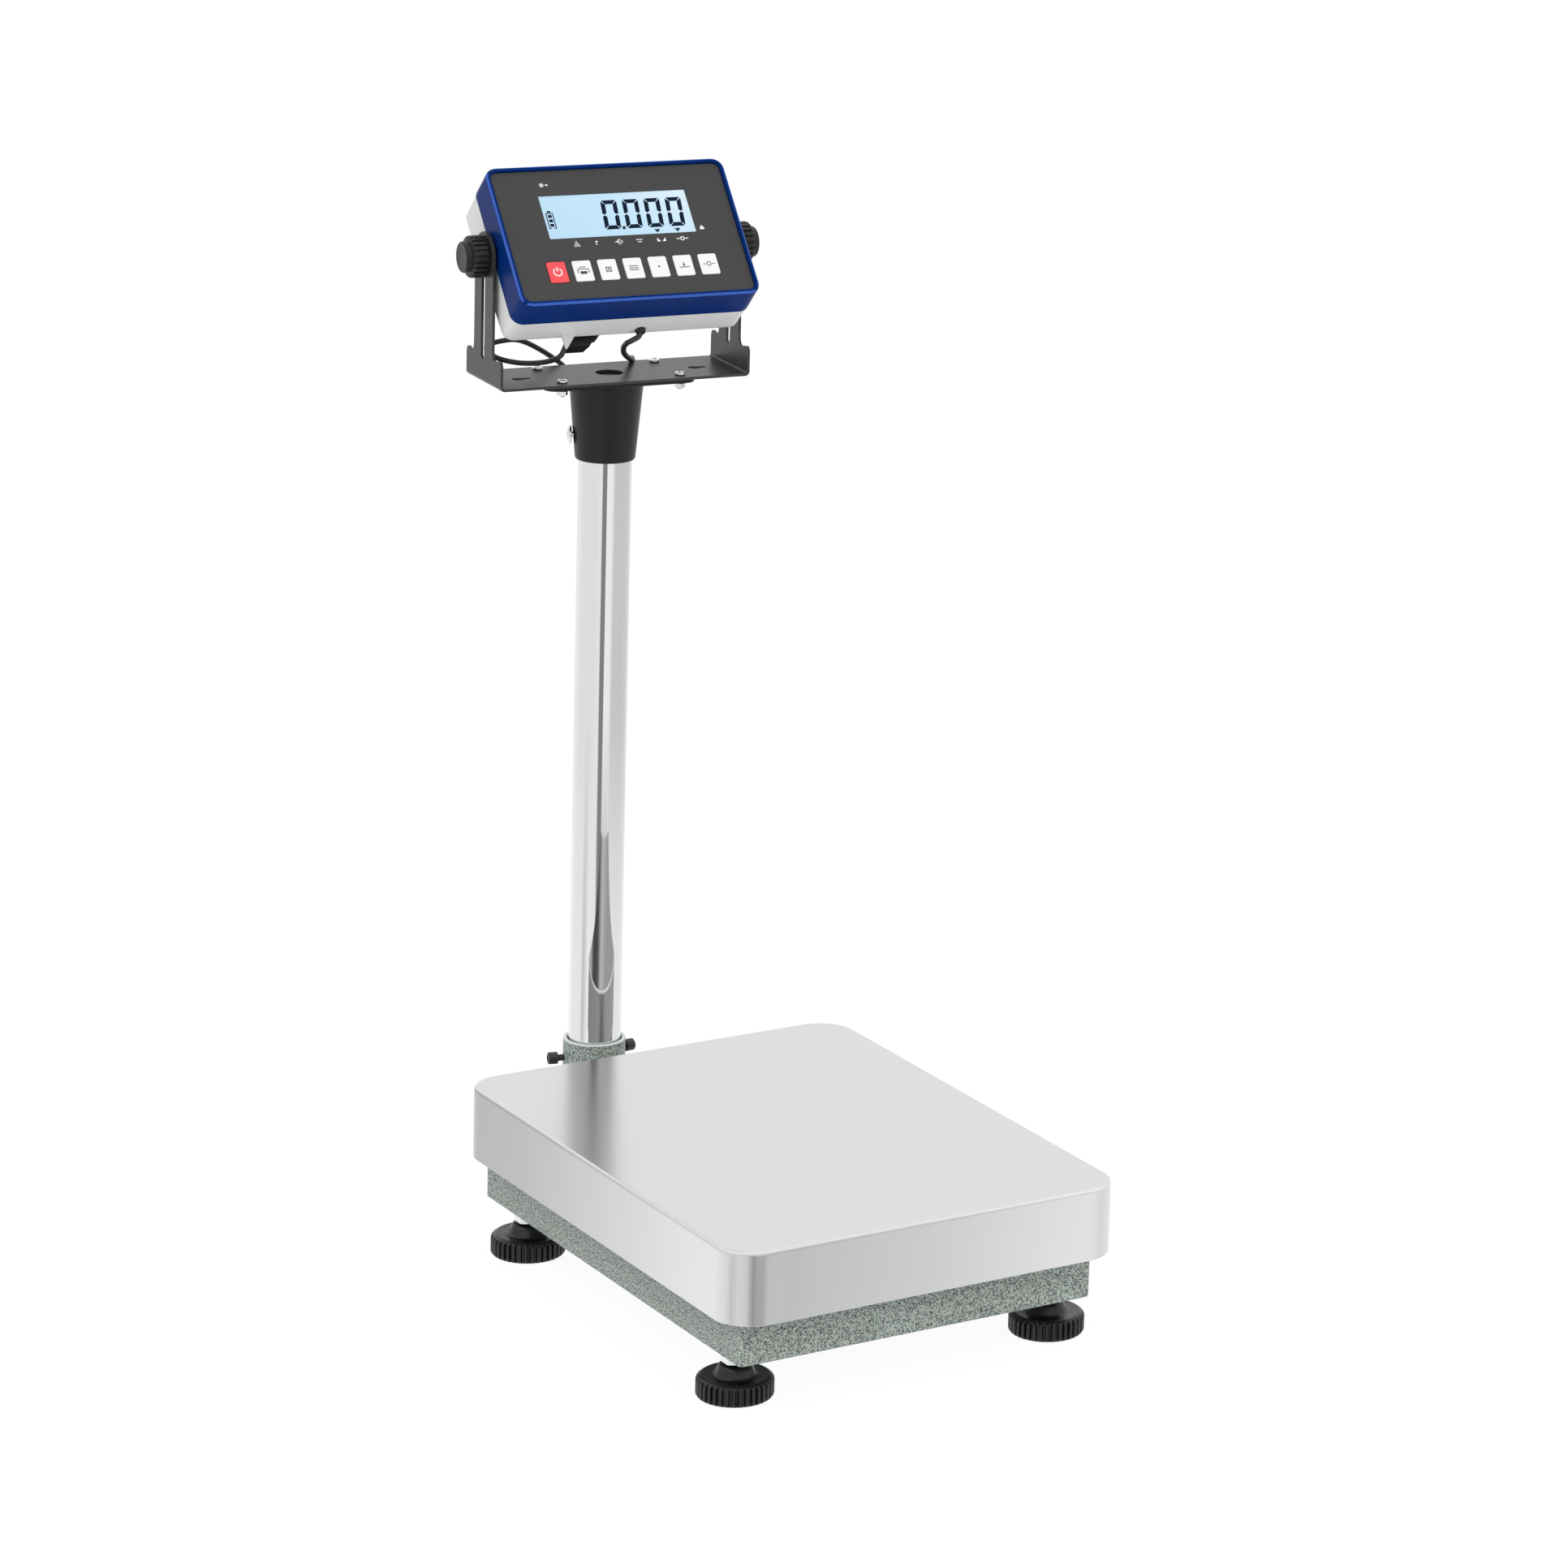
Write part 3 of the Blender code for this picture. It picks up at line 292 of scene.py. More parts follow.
M = {}
M["hammer"] = hammertone()
M["tray_top"] = brushed("brushed_top", (0.760, 0.760, 0.762), 0.20, 0.55, (9, 2600, 400), (0, 1, 0), 0.018, 0.03)
M["tray_skirt"] = brushed("brushed_skirt", (0.760, 0.760, 0.762), 0.24, 0.35, (1500, 1500, 8), (0, 0, 1), 0.010, 0.015)
M["chrome"] = chrome("chromed_tube")
M["chrome_small"] = chrome("chromed_fastener", (0.88, 0.88, 0.89), 0.08)
M["nut"] = chrome("bright_nut", (0.90, 0.91, 0.93), 0.12)
M["zinc"] = zinc("zinc_stud")
M["black"] = plastic("black_plastic", (0.013, 0.013, 0.014), 0.38, 0.12, 1800, 0.10, 0.38)
M["black_soft"] = plastic("black_plastic_foot", (0.0045, 0.0045, 0.0045), 0.28, 0.18, 1200, 0.22, 0.55, 0.0001)
M["adapter"] = plastic("black_cast_adapter", (0.006, 0.006, 0.0065), 0.38, 0.12, 1500, 0.12, 0.35)
M["black_oxide"] = plastic("black_oxide_screw", (0.014, 0.014, 0.015), 0.34, 0.1, 1800, 0.08, 0.6)
M["bracket"] = powder("dark_powder_coat", (0.021, 0.021, 0.0215), 0.36, 0.18)
M["spider"] = powder("black_powder_coat", (0.030, 0.030, 0.032), 0.5, 0.25)
M["blue"] = plastic("blue_satin_plastic", (0.0002, 0.0185, 0.122), 0.30, 0.06, 2200, 0.05, 0.045)
# paler copy of the blue plastic, a painted highlight for the bezel's front edge
M["blue_rim"] = plastic("blue_satin_painted_highlight", (0.035, 0.095, 0.400), 0.34, 0.06, 2200, 0.05, 0.16)
M["grey"] = plastic("light_grey_plastic", (0.600, 0.602, 0.605), 0.42, 0.02, 2200, 0.07, 0.45)
M["panel"] = plastic("overlay_film", (0.032, 0.032, 0.033), 0.50, 0.05, 3200, 0.10, 0.45)
M["white_key"] = plastic("white_key", (0.760, 0.762, 0.765), 0.38, 0.015, 2600, 0.06, 0.4)
M["red_key"] = plastic("red_key", (0.780, 0.068, 0.080), 0.36, 0.03, 2600, 0.06, 0.4)
M["rubber"] = plastic("rubber_pad", (0.020, 0.020, 0.020), 0.75, 0.15, 900, 0.25, 0.3)
M["cable"] = plastic("cable_sheath", (0.030, 0.030, 0.031), 0.42, 0.12, 1400, 0.10, 0.5)
M["wrap"] = plastic("battery_shrink_wrap", (0.025, 0.055, 0.150), 0.25, 0.15, 500, 0.15, 0.6)
M["white_print"] = plastic("white_print", (0.80, 0.80, 0.80), 0.55, 0.02, 2600, 0.02, 0.3)
M["dark_print"] = plastic("dark_print", (0.050, 0.050, 0.055), 0.60, 0.05, 2600, 0.02, 0.3)
M["key_gap"] = plastic("key_shadow_line", (0.012, 0.012, 0.012), 0.7, 0.05, 2600, 0.02, 0.2)


def cell_mat():
    m, nt, b = new_mat("machined_aluminium", (0.72, 0.73, 0.75), 0.34, 1.0)
    v = coords(nt, (40, 3, 900))
    n = noise(nt, v, 1.0, 3, 0.6)
    link(nt, mix(nt, n, (0.60, 0.61, 0.63), (0.82, 0.83, 0.85)), b.inputs["Base Color"])
    link(nt, maths(nt, "MULTIPLY_ADD", n, 0.2, 0.24), b.inputs["Roughness"])
    bump(nt, b, n, 0.08, 0.00004)
    return m


def board_mat():
    m, nt, b = new_mat("circuit_board", (0.02, 0.16, 0.07), 0.4)
    v = coords(nt)
    vo = node(nt, "ShaderNodeTexVoronoi")
    vo.distance = "MANHATTAN"
    vo.feature = "DISTANCE_TO_EDGE" if False else "F1"
    vo.inputs["Scale"].default_value = 130
    link(nt, v, vo.inputs["Vector"])
    tracks = ramp(nt, vo.outputs["Distance"], [(0.30, 0.0), (0.34, 1.0), (0.44, 1.0), (0.48, 0.0)])
    link(nt, mix(nt, tracks, (0.012, 0.110, 0.050), (0.030, 0.210, 0.095)), b.inputs["Base Color"])
    bump(nt, b, tracks, 0.2, 0.00005)
    return m


def display_mat():
    """Lit display face: pale blue, paler towards the upper right, a fine dot texture."""
    m, nt, b = new_mat("display_backlight", (0.30, 0.42, 0.50), 0.4)
    tc = node(nt, "ShaderNodeTexCoord")
    ux = node(nt, "ShaderNodeVectorMath", operation="DOT_PRODUCT")
    uz = node(nt, "ShaderNodeVectorMath", operation="DOT_PRODUCT")
    link(nt, tc.outputs["Object"], ux.inputs[0])
    link(nt, tc.outputs["Object"], uz.inputs[0])
    ux.inputs[1].default_value = EX
    uz.inputs[1].default_value = UPW
    x = maths(nt, "SUBTRACT", ux.outputs["Value"], PIV.dot(EX))
    z = maths(nt, "SUBTRACT", uz.outputs["Value"], PIV.dot(UPW) + FACE_U + 0.015)
    f = maths(nt, "ADD", maths(nt, "MULTIPLY_ADD", x, 7.5, 0.45), maths(nt, "MULTIPLY", z, 9.0), clamp=True)
    col = ramp(nt, f, [(0.0, (0.530, 0.740, 0.900)), (0.55, (0.590, 0.790, 0.940)), (1.0, (0.800, 0.900, 0.970))])
    dots = noise(nt, coords(nt), 1800, 1)
    col2 = mix(nt, maths(nt, "MULTIPLY", dots, 0.08), col, (0.38, 0.60, 0.82))
    b.inputs["Base Color"].default_value = (0.05, 0.08, 0.10, 1)
    b.inputs["Specular IOR Level"].default_value = 0.2
    link(nt, col2, b.inputs["Emission Color"])
    b.inputs["Emission Strength"].default_value = 0.93
    return m


def window_mat():
    """Clear cover: see-through with a faint reflection."""
    m = bpy.data.materials.new("clear_window")
    m.use_nodes = True
    nt = m.node_tree
    nt.nodes.clear()
    out = node(nt, "ShaderNodeOutputMaterial")
    tr = node(nt, "ShaderNodeBsdfTransparent")
    tr.inputs["Color"].default_value = (0.97, 0.985, 0.99, 1)
    gl = node(nt, "ShaderNodeBsdfGlossy")
    gl.inputs["Roughness"].default_value = 0.06
    fr = node(nt, "ShaderNodeFresnel")
    n = noise(nt, coords(nt), 30, 2)
    link(nt, maths(nt, "MULTIPLY_ADD", n, 0.04, 1.38), fr.inputs["IOR"])
    mx = node(nt, "ShaderNodeMixShader")
    link(nt, maths(nt, "MULTIPLY", fr.outputs[0], 0.12), mx.inputs[0])
    link(nt, tr.outputs[0], mx.inputs[1])
    link(nt, gl.outputs[0], mx.inputs[2])
    link(nt, mx.outputs[0], out.inputs["Surface"])
    return m


M["cell"] = cell_mat()
M["board"] = board_mat()
M["display"] = display_mat()
M["window"] = window_mat()
M["segment"] = plastic("display_segment", (0.0015, 0.0085, 0.026), 0.6, 0.1, 2600, 0.02, 0.03)


# ================================================================== mesh tools
def rrect(w, h, r, seg=8, cx=0.0, cy=0.0):
    r = max(min(r, w / 2 - 1e-5, h / 2 - 1e-5), 1e-5)
    pts = []
    for qx, qy, a0 in ((1, 1, 0), (-1, 1, 90), (-1, -1, 180), (1, -1, 270)):
        for k in range(seg + 1):
            a = math.radians(a0 + 90.0 * k / seg)
            pts.append((cx + qx * (w / 2 - r) + r * math.cos(a), cy + qy * (h / 2 - r) + r * math.sin(a)))
    return pts


def circle(r, n=48, cx=0.0, cy=0.0, phase=0.0):
    return [(cx + r * math.cos(2 * math.pi * k / n + phase), cy + r * math.sin(2 * math.pi * k / n + phase)) for k in range(n)]


def hexagon(af, n=24, phase=0.0):
    pts = []
    for k in range(n):
        a = 2 * math.pi * k / n
        d = (a + math.pi / 6) % (math.pi / 3) - math.pi / 6
        r = af / 2 / math.cos(d)
        pts.append((r * math.cos(a + phase), r * math.sin(a + phase)))
    return pts


def at_z(pts, z):
    return [(x, y, z) for x, y in pts]


def at_x(pts, x):
    return [(x, y, z) for y, z in pts]


def at_y(pts, y):
    return [(x, y, z) for x, z in pts]


def loft(loops, ring=False):
    bm = bmesh.new()
    vs = [[bm.verts.new(p) for p in loop] for loop in loops]
    n = len(vs[0])
    pairs = list(zip(vs[:-1], vs[1:]))
    if ring:
        pairs.append((vs[-1], vs[0]))
    for a, b in pairs:
        for k in range(n):
            bm.faces.new((a[k], a[(k + 1) % n], b[(k + 1) % n], b[k]))
    if not ring:
        bm.faces.new(list(reversed(vs[0])))
        bm.faces.new(vs[-1])
    return bm


def prism(pts, lo, hi, place):
    return loft([place(pts, lo), place(pts, hi)])


def box(x0, x1, y0, y1, z0, z1):
    return prism([(x0, y0), (x1, y0), (x1, y1), (x0, y1)], z0, z1, at_z)


def merge(parts):
    out = bmesh.new()
    for p in parts:
        me = bpy.data.meshes.new("tmp")
        p.to_mesh(me)
        p.free()
        out.from_mesh(me)
        bpy.data.meshes.remove(me)
    return out


def move(bm, m):
    bmesh.ops.transform(bm, matrix=m, verts=bm.verts)
    return bm


def turned(profile, n=48, ring=False):
    return loft([at_z(circle(r, n), z) for r, z in profile], ring)


def along(direction, origin):
    q = Vector((0, 0, 1)).rotation_difference(Vector(direction).normalized())
    return Matrix.Translation(Vector(origin)) @ q.to_matrix().to_4x4()


def to_object(name, bm, m=ID):
    bmesh.ops.transform(bm, matrix=m, verts=bm.verts)
    bmesh.ops.recalc_face_normals(bm, faces=bm.faces)
    me = bpy.data.meshes.new(name)
    bm.to_mesh(me)
    bm.free()
    ob = bpy.data.objects.new(name, me)
    bpy.context.scene.collection.objects.link(ob)
    return ob


def piece(name, bm, mats, body, nodes=(), m=ID, joins=(), cuts=(), bevel=0.0, segs=2, angle=32, ride=True, crease=40):
    """A finished visible piece: booleans applied, edges rounded, smooth shaded, riding on its body."""
    ob = to_object(name, bm, m)
    for op, lst in (("UNION", joins), ("DIFFERENCE", cuts)):
        for k, c in enumerate(lst):
            cut = to_object(f"{name}_{op}_{k}", c, m)
            md = ob.modifiers.new("b", "BOOLEAN")
            md.operation, md.solver, md.object = op, "EXACT", cut
            bpy.context.view_layer.update()
            dg = bpy.context.evaluated_depsgraph_get()
            me = bpy.data.meshes.new_from_object(ob.evaluated_get(dg))
            ob.modifiers.clear()
            old = ob.data
            ob.data = me
            bpy.data.meshes.remove(old)
            bpy.data.objects.remove(cut, do_unlink=True)
    if bevel:
        md = ob.modifiers.new("edge", "BEVEL")
        md.width, md.segments, md.limit_method, md.angle_limit = bevel, segs, "ANGLE", math.radians(crease)
        md.harden_normals = False
        md.use_clamp_overlap = True
        bpy.context.view_layer.update()
        dg = bpy.context.evaluated_depsgraph_get()
        me = bpy.data.meshes.new_from_object(ob.evaluated_get(dg))
        ob.modifiers.clear()
        ob.data = me
    ob.data.name = name
    ob.data.materials.clear()
    for mt in (mats if isinstance(mats, (list, tuple)) else [mats]):
        ob.data.materials.append(mt)
    for p in ob.data.polygons:
        p.use_smooth = True
        p.material_index = 0
    ob.data.set_sharp_from_angle(angle=math.radians(angle))
    wn = ob.modifiers.new("flat", "WEIGHTED_NORMAL")
    wn.mode, wn.weight, wn.keep_sharp = "FACE_AREA_WITH_ANGLE", 60, True
    if ride:
        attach(ob, body)
    if nodes:
        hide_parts(*nodes)
    return ob


def sweep(points, radius, sides=18):
    rad = radius if callable(radius) else (lambda t: radius)
    pts = [Vector(p) for p in points]
    t0 = (pts[1] - pts[0]).normalized()
    n = t0.orthogonal().normalized()
    loops = []
    for i, p in enumerate(pts):
        t = (pts[min(i + 1, len(pts) - 1)] - pts[max(i - 1, 0)]).normalized()
        n = (n - t * n.dot(t)).normalized()
        bn = t.cross(n)
        r = rad(i / (len(pts) - 1))
        loops.append([tuple(p + (n * math.cos(2 * math.pi * k / sides) + bn * math.sin(2 * math.pi * k / sides)) * r) for k in range(sides)])
    return loft(loops)


def catmull(points, per=8):
    P = [Vector(p) for p in points]
    P = [P[0] * 2 - P[1]] + P + [P[-1] * 2 - P[-2]]
    out = []
    for i in range(1, len(P) - 2):
        p0, p1, p2, p3 = P[i - 1], P[i], P[i + 1], P[i + 2]
        for k in range(per):
            t = k / per
            out.append(0.5 * ((2 * p1) + (p2 - p0) * t + (2 * p0 - 5 * p1 + 4 * p2 - p3) * t * t + (3 * p1 - p0 - 3 * p2 + p3) * t ** 3))
    out.append(P[-2])
    return out


def arc_loops(fn, n=6, a0=0, a1=90):
    return [fn(math.radians(a0 + (a1 - a0) * k / n)) for k in range(n + 1)]


CORNERS = {"fl": (-1, -1), "fr": (1, -1), "bl": (-1, 1), "br": (1, 1)}

# ================================================================== tray
rb = 0.0026
TS = 14
loops = [at_z(rrect(TRAY_W - 2 * (TRAY_T + 0.0014), TRAY_D - 2 * (TRAY_T + 0.0014), TRAY_R - TRAY_T - 0.0014, TS), TRAY_TOP - TRAY_T),
         at_z(rrect(TRAY_W - 2 * (TRAY_T + 0.0004), TRAY_D - 2 * (TRAY_T + 0.0004), TRAY_R - TRAY_T - 0.0004, TS), TRAY_TOP - TRAY_T - 0.0004),
         at_z(rrect(TRAY_W - 2 * TRAY_T, TRAY_D - 2 * TRAY_T, TRAY_R - TRAY_T, TS), TRAY_TOP - TRAY_T - 0.0014),
         at_z(rrect(TRAY_W - 2 * TRAY_T, TRAY_D - 2 * TRAY_T, TRAY_R - TRAY_T, TS), TRAY_BOT + 0.0002),
         at_z(rrect(TRAY_W - 2 * TRAY_T + 0.0006, TRAY_D - 2 * TRAY_T + 0.0006, TRAY_R - TRAY_T + 0.0003, TS), TRAY_BOT),
         at_z(rrect(TRAY_W - 0.0006, TRAY_D - 0.0006, TRAY_R - 0.0003, TS), TRAY_BOT),
         at_z(rrect(TRAY_W, TRAY_D, TRAY_R, TS), TRAY_BOT + 0.0003)]
for k in range(9):
    f = math.radians(11.25 * k)
    d = rb * (1 - math.cos(f))
    loops.append(at_z(rrect(TRAY_W - 2 * d, TRAY_D - 2 * d, TRAY_R - d, TS), TRAY_TOP - rb + rb * math.sin(f)))
# Painted reflection on the tray skirt: its base colour is scaled by position. The side faces are darker towards the
# rear and the front and back faces are darker towards the left. This stands in for the studio reflection on the brushed
# steel.
nt = M["tray_skirt"].node_tree
bs = nt.nodes["Principled BSDF"]
src_ = bs.inputs["Base Color"].links[0].from_socket
tc_ = node(nt, "ShaderNodeTexCoord")
sx_ = node(nt, "ShaderNodeSeparateXYZ")
link(nt, tc_.outputs["Object"], sx_.inputs[0])
fx = maths(nt, "MULTIPLY_ADD", sx_.outputs[0], 1.0 / TRAY_W, 0.5, clamp=True)                       # 0 left, 1 right
fy = maths(nt, "MULTIPLY_ADD", sx_.outputs[1], -1.0 / TRAY_D, 0.5 + TY / TRAY_D, clamp=True)        # 0 rear, 1 front
left_painted_sheen = ramp(nt, fy, [(0.0, 0.67), (0.25, 0.73), (0.6, 0.95), (0.85, 1.11), (1.0, 1.14)])
front_painted_sheen = ramp(nt, fx, [(0.0, 0.82), (0.15, 0.83), (0.5, 0.98), (0.85, 1.20), (1.0, 1.26)])
ge_ = node(nt, "ShaderNodeNewGeometry")
sn_ = node(nt, "ShaderNodeSeparateXYZ")
link(nt, ge_.outputs["True Normal"], sn_.inputs[0])
fw = maths(nt, "MULTIPLY", maths(nt, "MULTIPLY", sn_.outputs[1], sn_.outputs[1]), 1.0, clamp=True)
painted_sheen_ = mix(nt, fw, left_painted_sheen, front_painted_sheen)
vm_ = node(nt, "ShaderNodeVectorMath", operation="MULTIPLY")
link(nt, src_, vm_.inputs[0])
link(nt, painted_sheen_, vm_.inputs[1])
link(nt, vm_.outputs[0], bs.inputs["Base Color"])
tray = piece("tray_sheet", loft(loops), [M["tray_top"], M["tray_skirt"]], "tray", ["platform_tray"], BASE, angle=40)
for p in tray.data.polygons:
    p.material_index = 0 if abs(p.normal.z) > 0.75 else 1

# ================================================================== base box
t = 0.0020
base = piece("base_box", loft([
    at_z(rrect(BASE_W - 0.0030, BASE_D - 0.0030, 0.0020, 5, 0, BASE_CY), BASE_BOT),
    at_z(rrect(BASE_W - 0.0010, BASE_D - 0.0010, 0.0030, 5, 0, BASE_CY), BASE_BOT + 0.0004),
    at_z(rrect(BASE_W, BASE_D, 0.0035, 5, 0, BASE_CY), BASE_BOT + 0.0014),
    at_z(rrect(BASE_W, BASE_D, 0.0035, 5, 0, BASE_CY), BASE_TOP),
    at_z(rrect(BASE_W - 2 * t, BASE_D - 2 * t, 0.0015, 5, 0, BASE_CY), BASE_TOP),
    at_z(rrect(BASE_W - 2 * t, BASE_D - 2 * t, 0.0015, 5, 0, BASE_CY), BASE_BOT + 0.003)]),
    M["hammer"], "base", ["base_frame"], BASE,
    joins=[merge([move(turned([(0.0105, BASE_BOT + 0.002), (0.0105, 0.0554), (0.0099, 0.0560)], 32), Matrix.Translation((sx * 0.1207, sy * 0.1512, 0))) for sx, sy in CORNERS.values()]
                 + [box(-0.022, 0.022, 0.038, 0.078, BASE_BOT + 0.002, 0.0407 - GAP)])],
    cuts=[merge([move(turned([(0.0054, 0.02), (0.0054, 0.07)], 24), Matrix.Translation((sx * 0.1207, sy * 0.1512, 0))) for sx, sy in CORNERS.values()]
                + [move(turned([(0.0034, 0.02), (0.0034, 0.07)], 16), Matrix.Translation((0, y, 0))) for y in (0.0480, 0.0680)]
                + [move(turned([(0.0031, -0.01), (0.0031, 0.01)], 24), along((0, 1, 0), (0.038, BASE_CY + BASE_D / 2, 0.046)))])])

# column socket: arm plate with a raised collar
SOCKET_R, SOCKET_RI, SOCKET_TOP = 0.0226, 0.0197, 0.1000
ARM_Z0, ARM_Z1, ARM_HALF = 0.0380, 0.0500, 0.0300
yb = (b_hi.y - AX.y) + GAP
arm_pts = [(-ARM_HALF, yb), (ARM_HALF, yb)] + [(ARM_HALF * math.cos(a), ARM_HALF * math.sin(a)) for a in [math.pi * k / 28 for k in range(29)]]
CLAMPS = {"left": (JOINTS["socket_screw_left_turn"], 0.0272), "right": (JOINTS["socket_screw_right_turn"], 0.0262)}
ck = []
for j, r0 in CLAMPS.values():
    ck.append(move(turned([(0.0028, 0.0150), (0.0028, 0.0260)], 24), along(j["axis"], (0, 0, j["pos_m"][2]))))
socket = piece("column_collar", prism(arm_pts, ARM_Z0, ARM_Z1, at_z), [M["hammer"], M["chrome_small"]], "base", ["column_socket"], COLM,
               joins=[turned([(SOCKET_R + 0.0010, ARM_Z1 - 0.002), (SOCKET_R + 0.0010, ARM_Z1 + 0.0006), (SOCKET_R, ARM_Z1 + 0.0018), (SOCKET_R, SOCKET_TOP - 0.0009), (SOCKET_R - 0.0003, SOCKET_TOP - 0.0003), (SOCKET_R - 0.0009, SOCKET_TOP),
                              (SOCKET_RI + 0.0006, SOCKET_TOP), (SOCKET_RI, SOCKET_TOP - 0.0006), (SOCKET_RI, ARM_Z1 - 0.002)], 64, True)],
               cuts=[merge(ck)])
# Painted highlight: the upward faces at the top of the collar get a paler enamel colour, standing in for the light on
# the rim.
M["rim"] = plastic("enamel_rim_painted_highlight", (0.62, 0.66, 0.62), 0.35, 0.04, 1400, 0.1, 0.5)
socket.data.materials[1] = M["rim"]
for p in socket.data.polygons:
    if p.center.z > SOCKET_TOP - 0.0012 and p.normal.z > 0.35:
        p.material_index = 1
for side, (j, r0) in CLAMPS.items():
    scr = loft([at_z(circle(0.0021, 24), 0.0190 + 0.0004), at_z(circle(0.0024, 24), 0.0190 + 0.0009), at_z(circle(0.0024, 24), r0),
                at_z(circle(0.0042, 24), r0), at_z(circle(0.00445, 24), r0 + 0.0003), at_z(circle(0.00445, 24), r0 + 0.0062), at_z(circle(0.0042, 24), r0 + 0.0067), at_z(circle(0.0037, 24), r0 + 0.0070),
                at_z(hexagon(0.0042, 24), r0 + 0.0070), at_z(hexagon(0.0040, 24), r0 + 0.0066), at_z(hexagon(0.0040, 24), r0 + 0.0038)])
    piece("cap_screw_" + side, scr, M["black_oxide"], "socket_screw_" + side, ["socket_clamp_screw_" + side], along(j["axis"], j["pos_m"]), angle=28)

# ================================================================== levelling feet
FR = 0.0261
RIBS = 36
PER = 8


def rib_loop(r_hi, r_lo, z, soft=0.5):
    pts = []
    n = RIBS * PER
    for k in range(n):
        ph = (k % PER) / PER
        w = 0.5 + 0.5 * math.cos(2 * math.pi * ph)
        w = min(1.0, max(0.0, (w - 0.18) / 0.42))
        w = w * w * (3 - 2 * w)
        r = r_lo + (r_hi - r_lo) * w
        a = 2 * math.pi * k / n
        pts.append((r * math.cos(a), r * math.sin(a), z))
    return pts


for tag, (sx, sy) in CORNERS.items():
    fm = BASE @ Matrix.Translation((sx * 0.1207, sy * 0.1512, 0))
    n = RIBS * PER
    c = lambda r, z: at_z(circle(r, n), z)
    pad = loft([
        c(FR - 0.0030, 0.0), rib_loop(FR - 0.0012, FR - 0.0016, 0.0006), rib_loop(FR, FR - 0.0019, 0.0022), rib_loop(FR, FR - 0.0021, 0.0112), rib_loop(FR - 0.0002, FR - 0.0020, 0.0124),
        rib_loop(FR - 0.0008, FR - 0.0019, 0.0133), c(FR - 0.0017, 0.0139), c(FR - 0.0030, 0.0147), c(FR - 0.0040, 0.0150),
        c(0.0208, 0.0147), c(0.0160, 0.0146), c(0.0146, 0.0150), c(0.0137, 0.0160), c(0.0122, 0.0196), c(0.0112, 0.0216), c(0.0102, 0.0224), c(0.0090, 0.0226), c(0.0056, 0.0226), c(0.0054, 0.0070)])
    piece("foot_disc_" + tag, pad, M["black_soft"], "foot_" + tag, ["foot_pad_" + tag], fm, angle=50)
    thread = [(0.0042, 0.0072)]
    z = 0.0078
    while z < 0.0680:
        thread += [(0.0050, z), (0.0045, z + 0.0005)]
        z += 0.0010
    thread += [(0.0044, 0.0684), (0.0036, 0.0688)]
    piece("foot_spindle_" + tag, turned(thread, 28), M["zinc"], "foot_" + tag, ["foot_stud_" + tag], fm, angle=60)
    nut = loft([at_z(hexagon(0.0170, 48), 0.0239), at_z(hexagon(0.0170, 48), 0.0315), at_z(circle(0.0083, 48), 0.0317), at_z(circle(0.0058, 48), 0.0317),
                at_z(circle(0.0054, 48), 0.0313), at_z(circle(0.0054, 48), 0.0241), at_z(circle(0.0058, 48), 0.0237), at_z(circle(0.0083, 48), 0.0237)], True)
    piece("foot_nut_" + tag, nut, M["nut"], "base", ["foot_lock_nut_" + tag], fm, angle=24)

# ================================================================== column, adapter
tube = piece("column_shaft", turned([(0.0188, 0.0503), (0.0190, 0.0505), (0.0190, 0.5875), (0.0188, 0.5877), (0.0177, 0.5877), (0.0175, 0.5875), (0.0175, 0.0505), (0.0177, 0.0503)], 128, True),
             M["chrome"], "column", ["column_tube"], COLM, angle=50)
CONE_Z0, FLANGE_Z0, FLANGE_Z1 = 0.5346, 0.5916, 0.5949
aj = JOINTS["adapter_screw_turn"]
ADAPT_Z = aj["pos_m"][2]
adir = HEAD.inverted().to_3x3() @ Vector(aj["axis"])
SCREWS = {"fl": (-0.0447, -0.0235), "fr": (0.0447, -0.0235), "bl": (-0.0447, 0.0235), "br": (0.0447, 0.0235)}
FLW, FLD = 0.114, 0.056
shift = TOP.translation - HEAD.translation
TOP_A = shift.dot(EX)
piece("head_cone", turned([(0.0193, 0.5880), (0.0193, CONE_Z0), (0.0196, CONE_Z0), (0.0209, CONE_Z0 + 0.0001), (0.0213, CONE_Z0 + 0.0006),
                           (0.02155, CONE_Z0 + 0.0014), (0.0264, FLANGE_Z0 - 0.0012), (0.0272, FLANGE_Z0 + 0.0002), (0.0272, FLANGE_Z0 + 0.0005)], 96),
      M["adapter"], "column", ["head_adapter"], HEAD,
      joins=[loft([at_z(rrect(FLW - 0.0012, FLD - 0.0012, 0.0084, 8, TOP_A), FLANGE_Z0), at_z(rrect(FLW, FLD, 0.009, 8, TOP_A), FLANGE_Z0 + 0.0006),
                   at_z(rrect(FLW, FLD, 0.009, 8, TOP_A), FLANGE_Z1 - 0.0002), at_z(rrect(FLW - 0.0004, FLD - 0.0004, 0.0088, 8, TOP_A), FLANGE_Z1)])],
      cuts=[merge([move(turned([(0.0023, 0.585), (0.0023, 0.605)], 20), Matrix.Translation((a + TOP_A, b_, 0))) for a, b_ in SCREWS.values()]
                  + [move(turned([(0.0029, 0.0150), (0.0029, 0.0300)], 24), along(adir, (0, 0, ADAPT_Z)))])],
      angle=36)
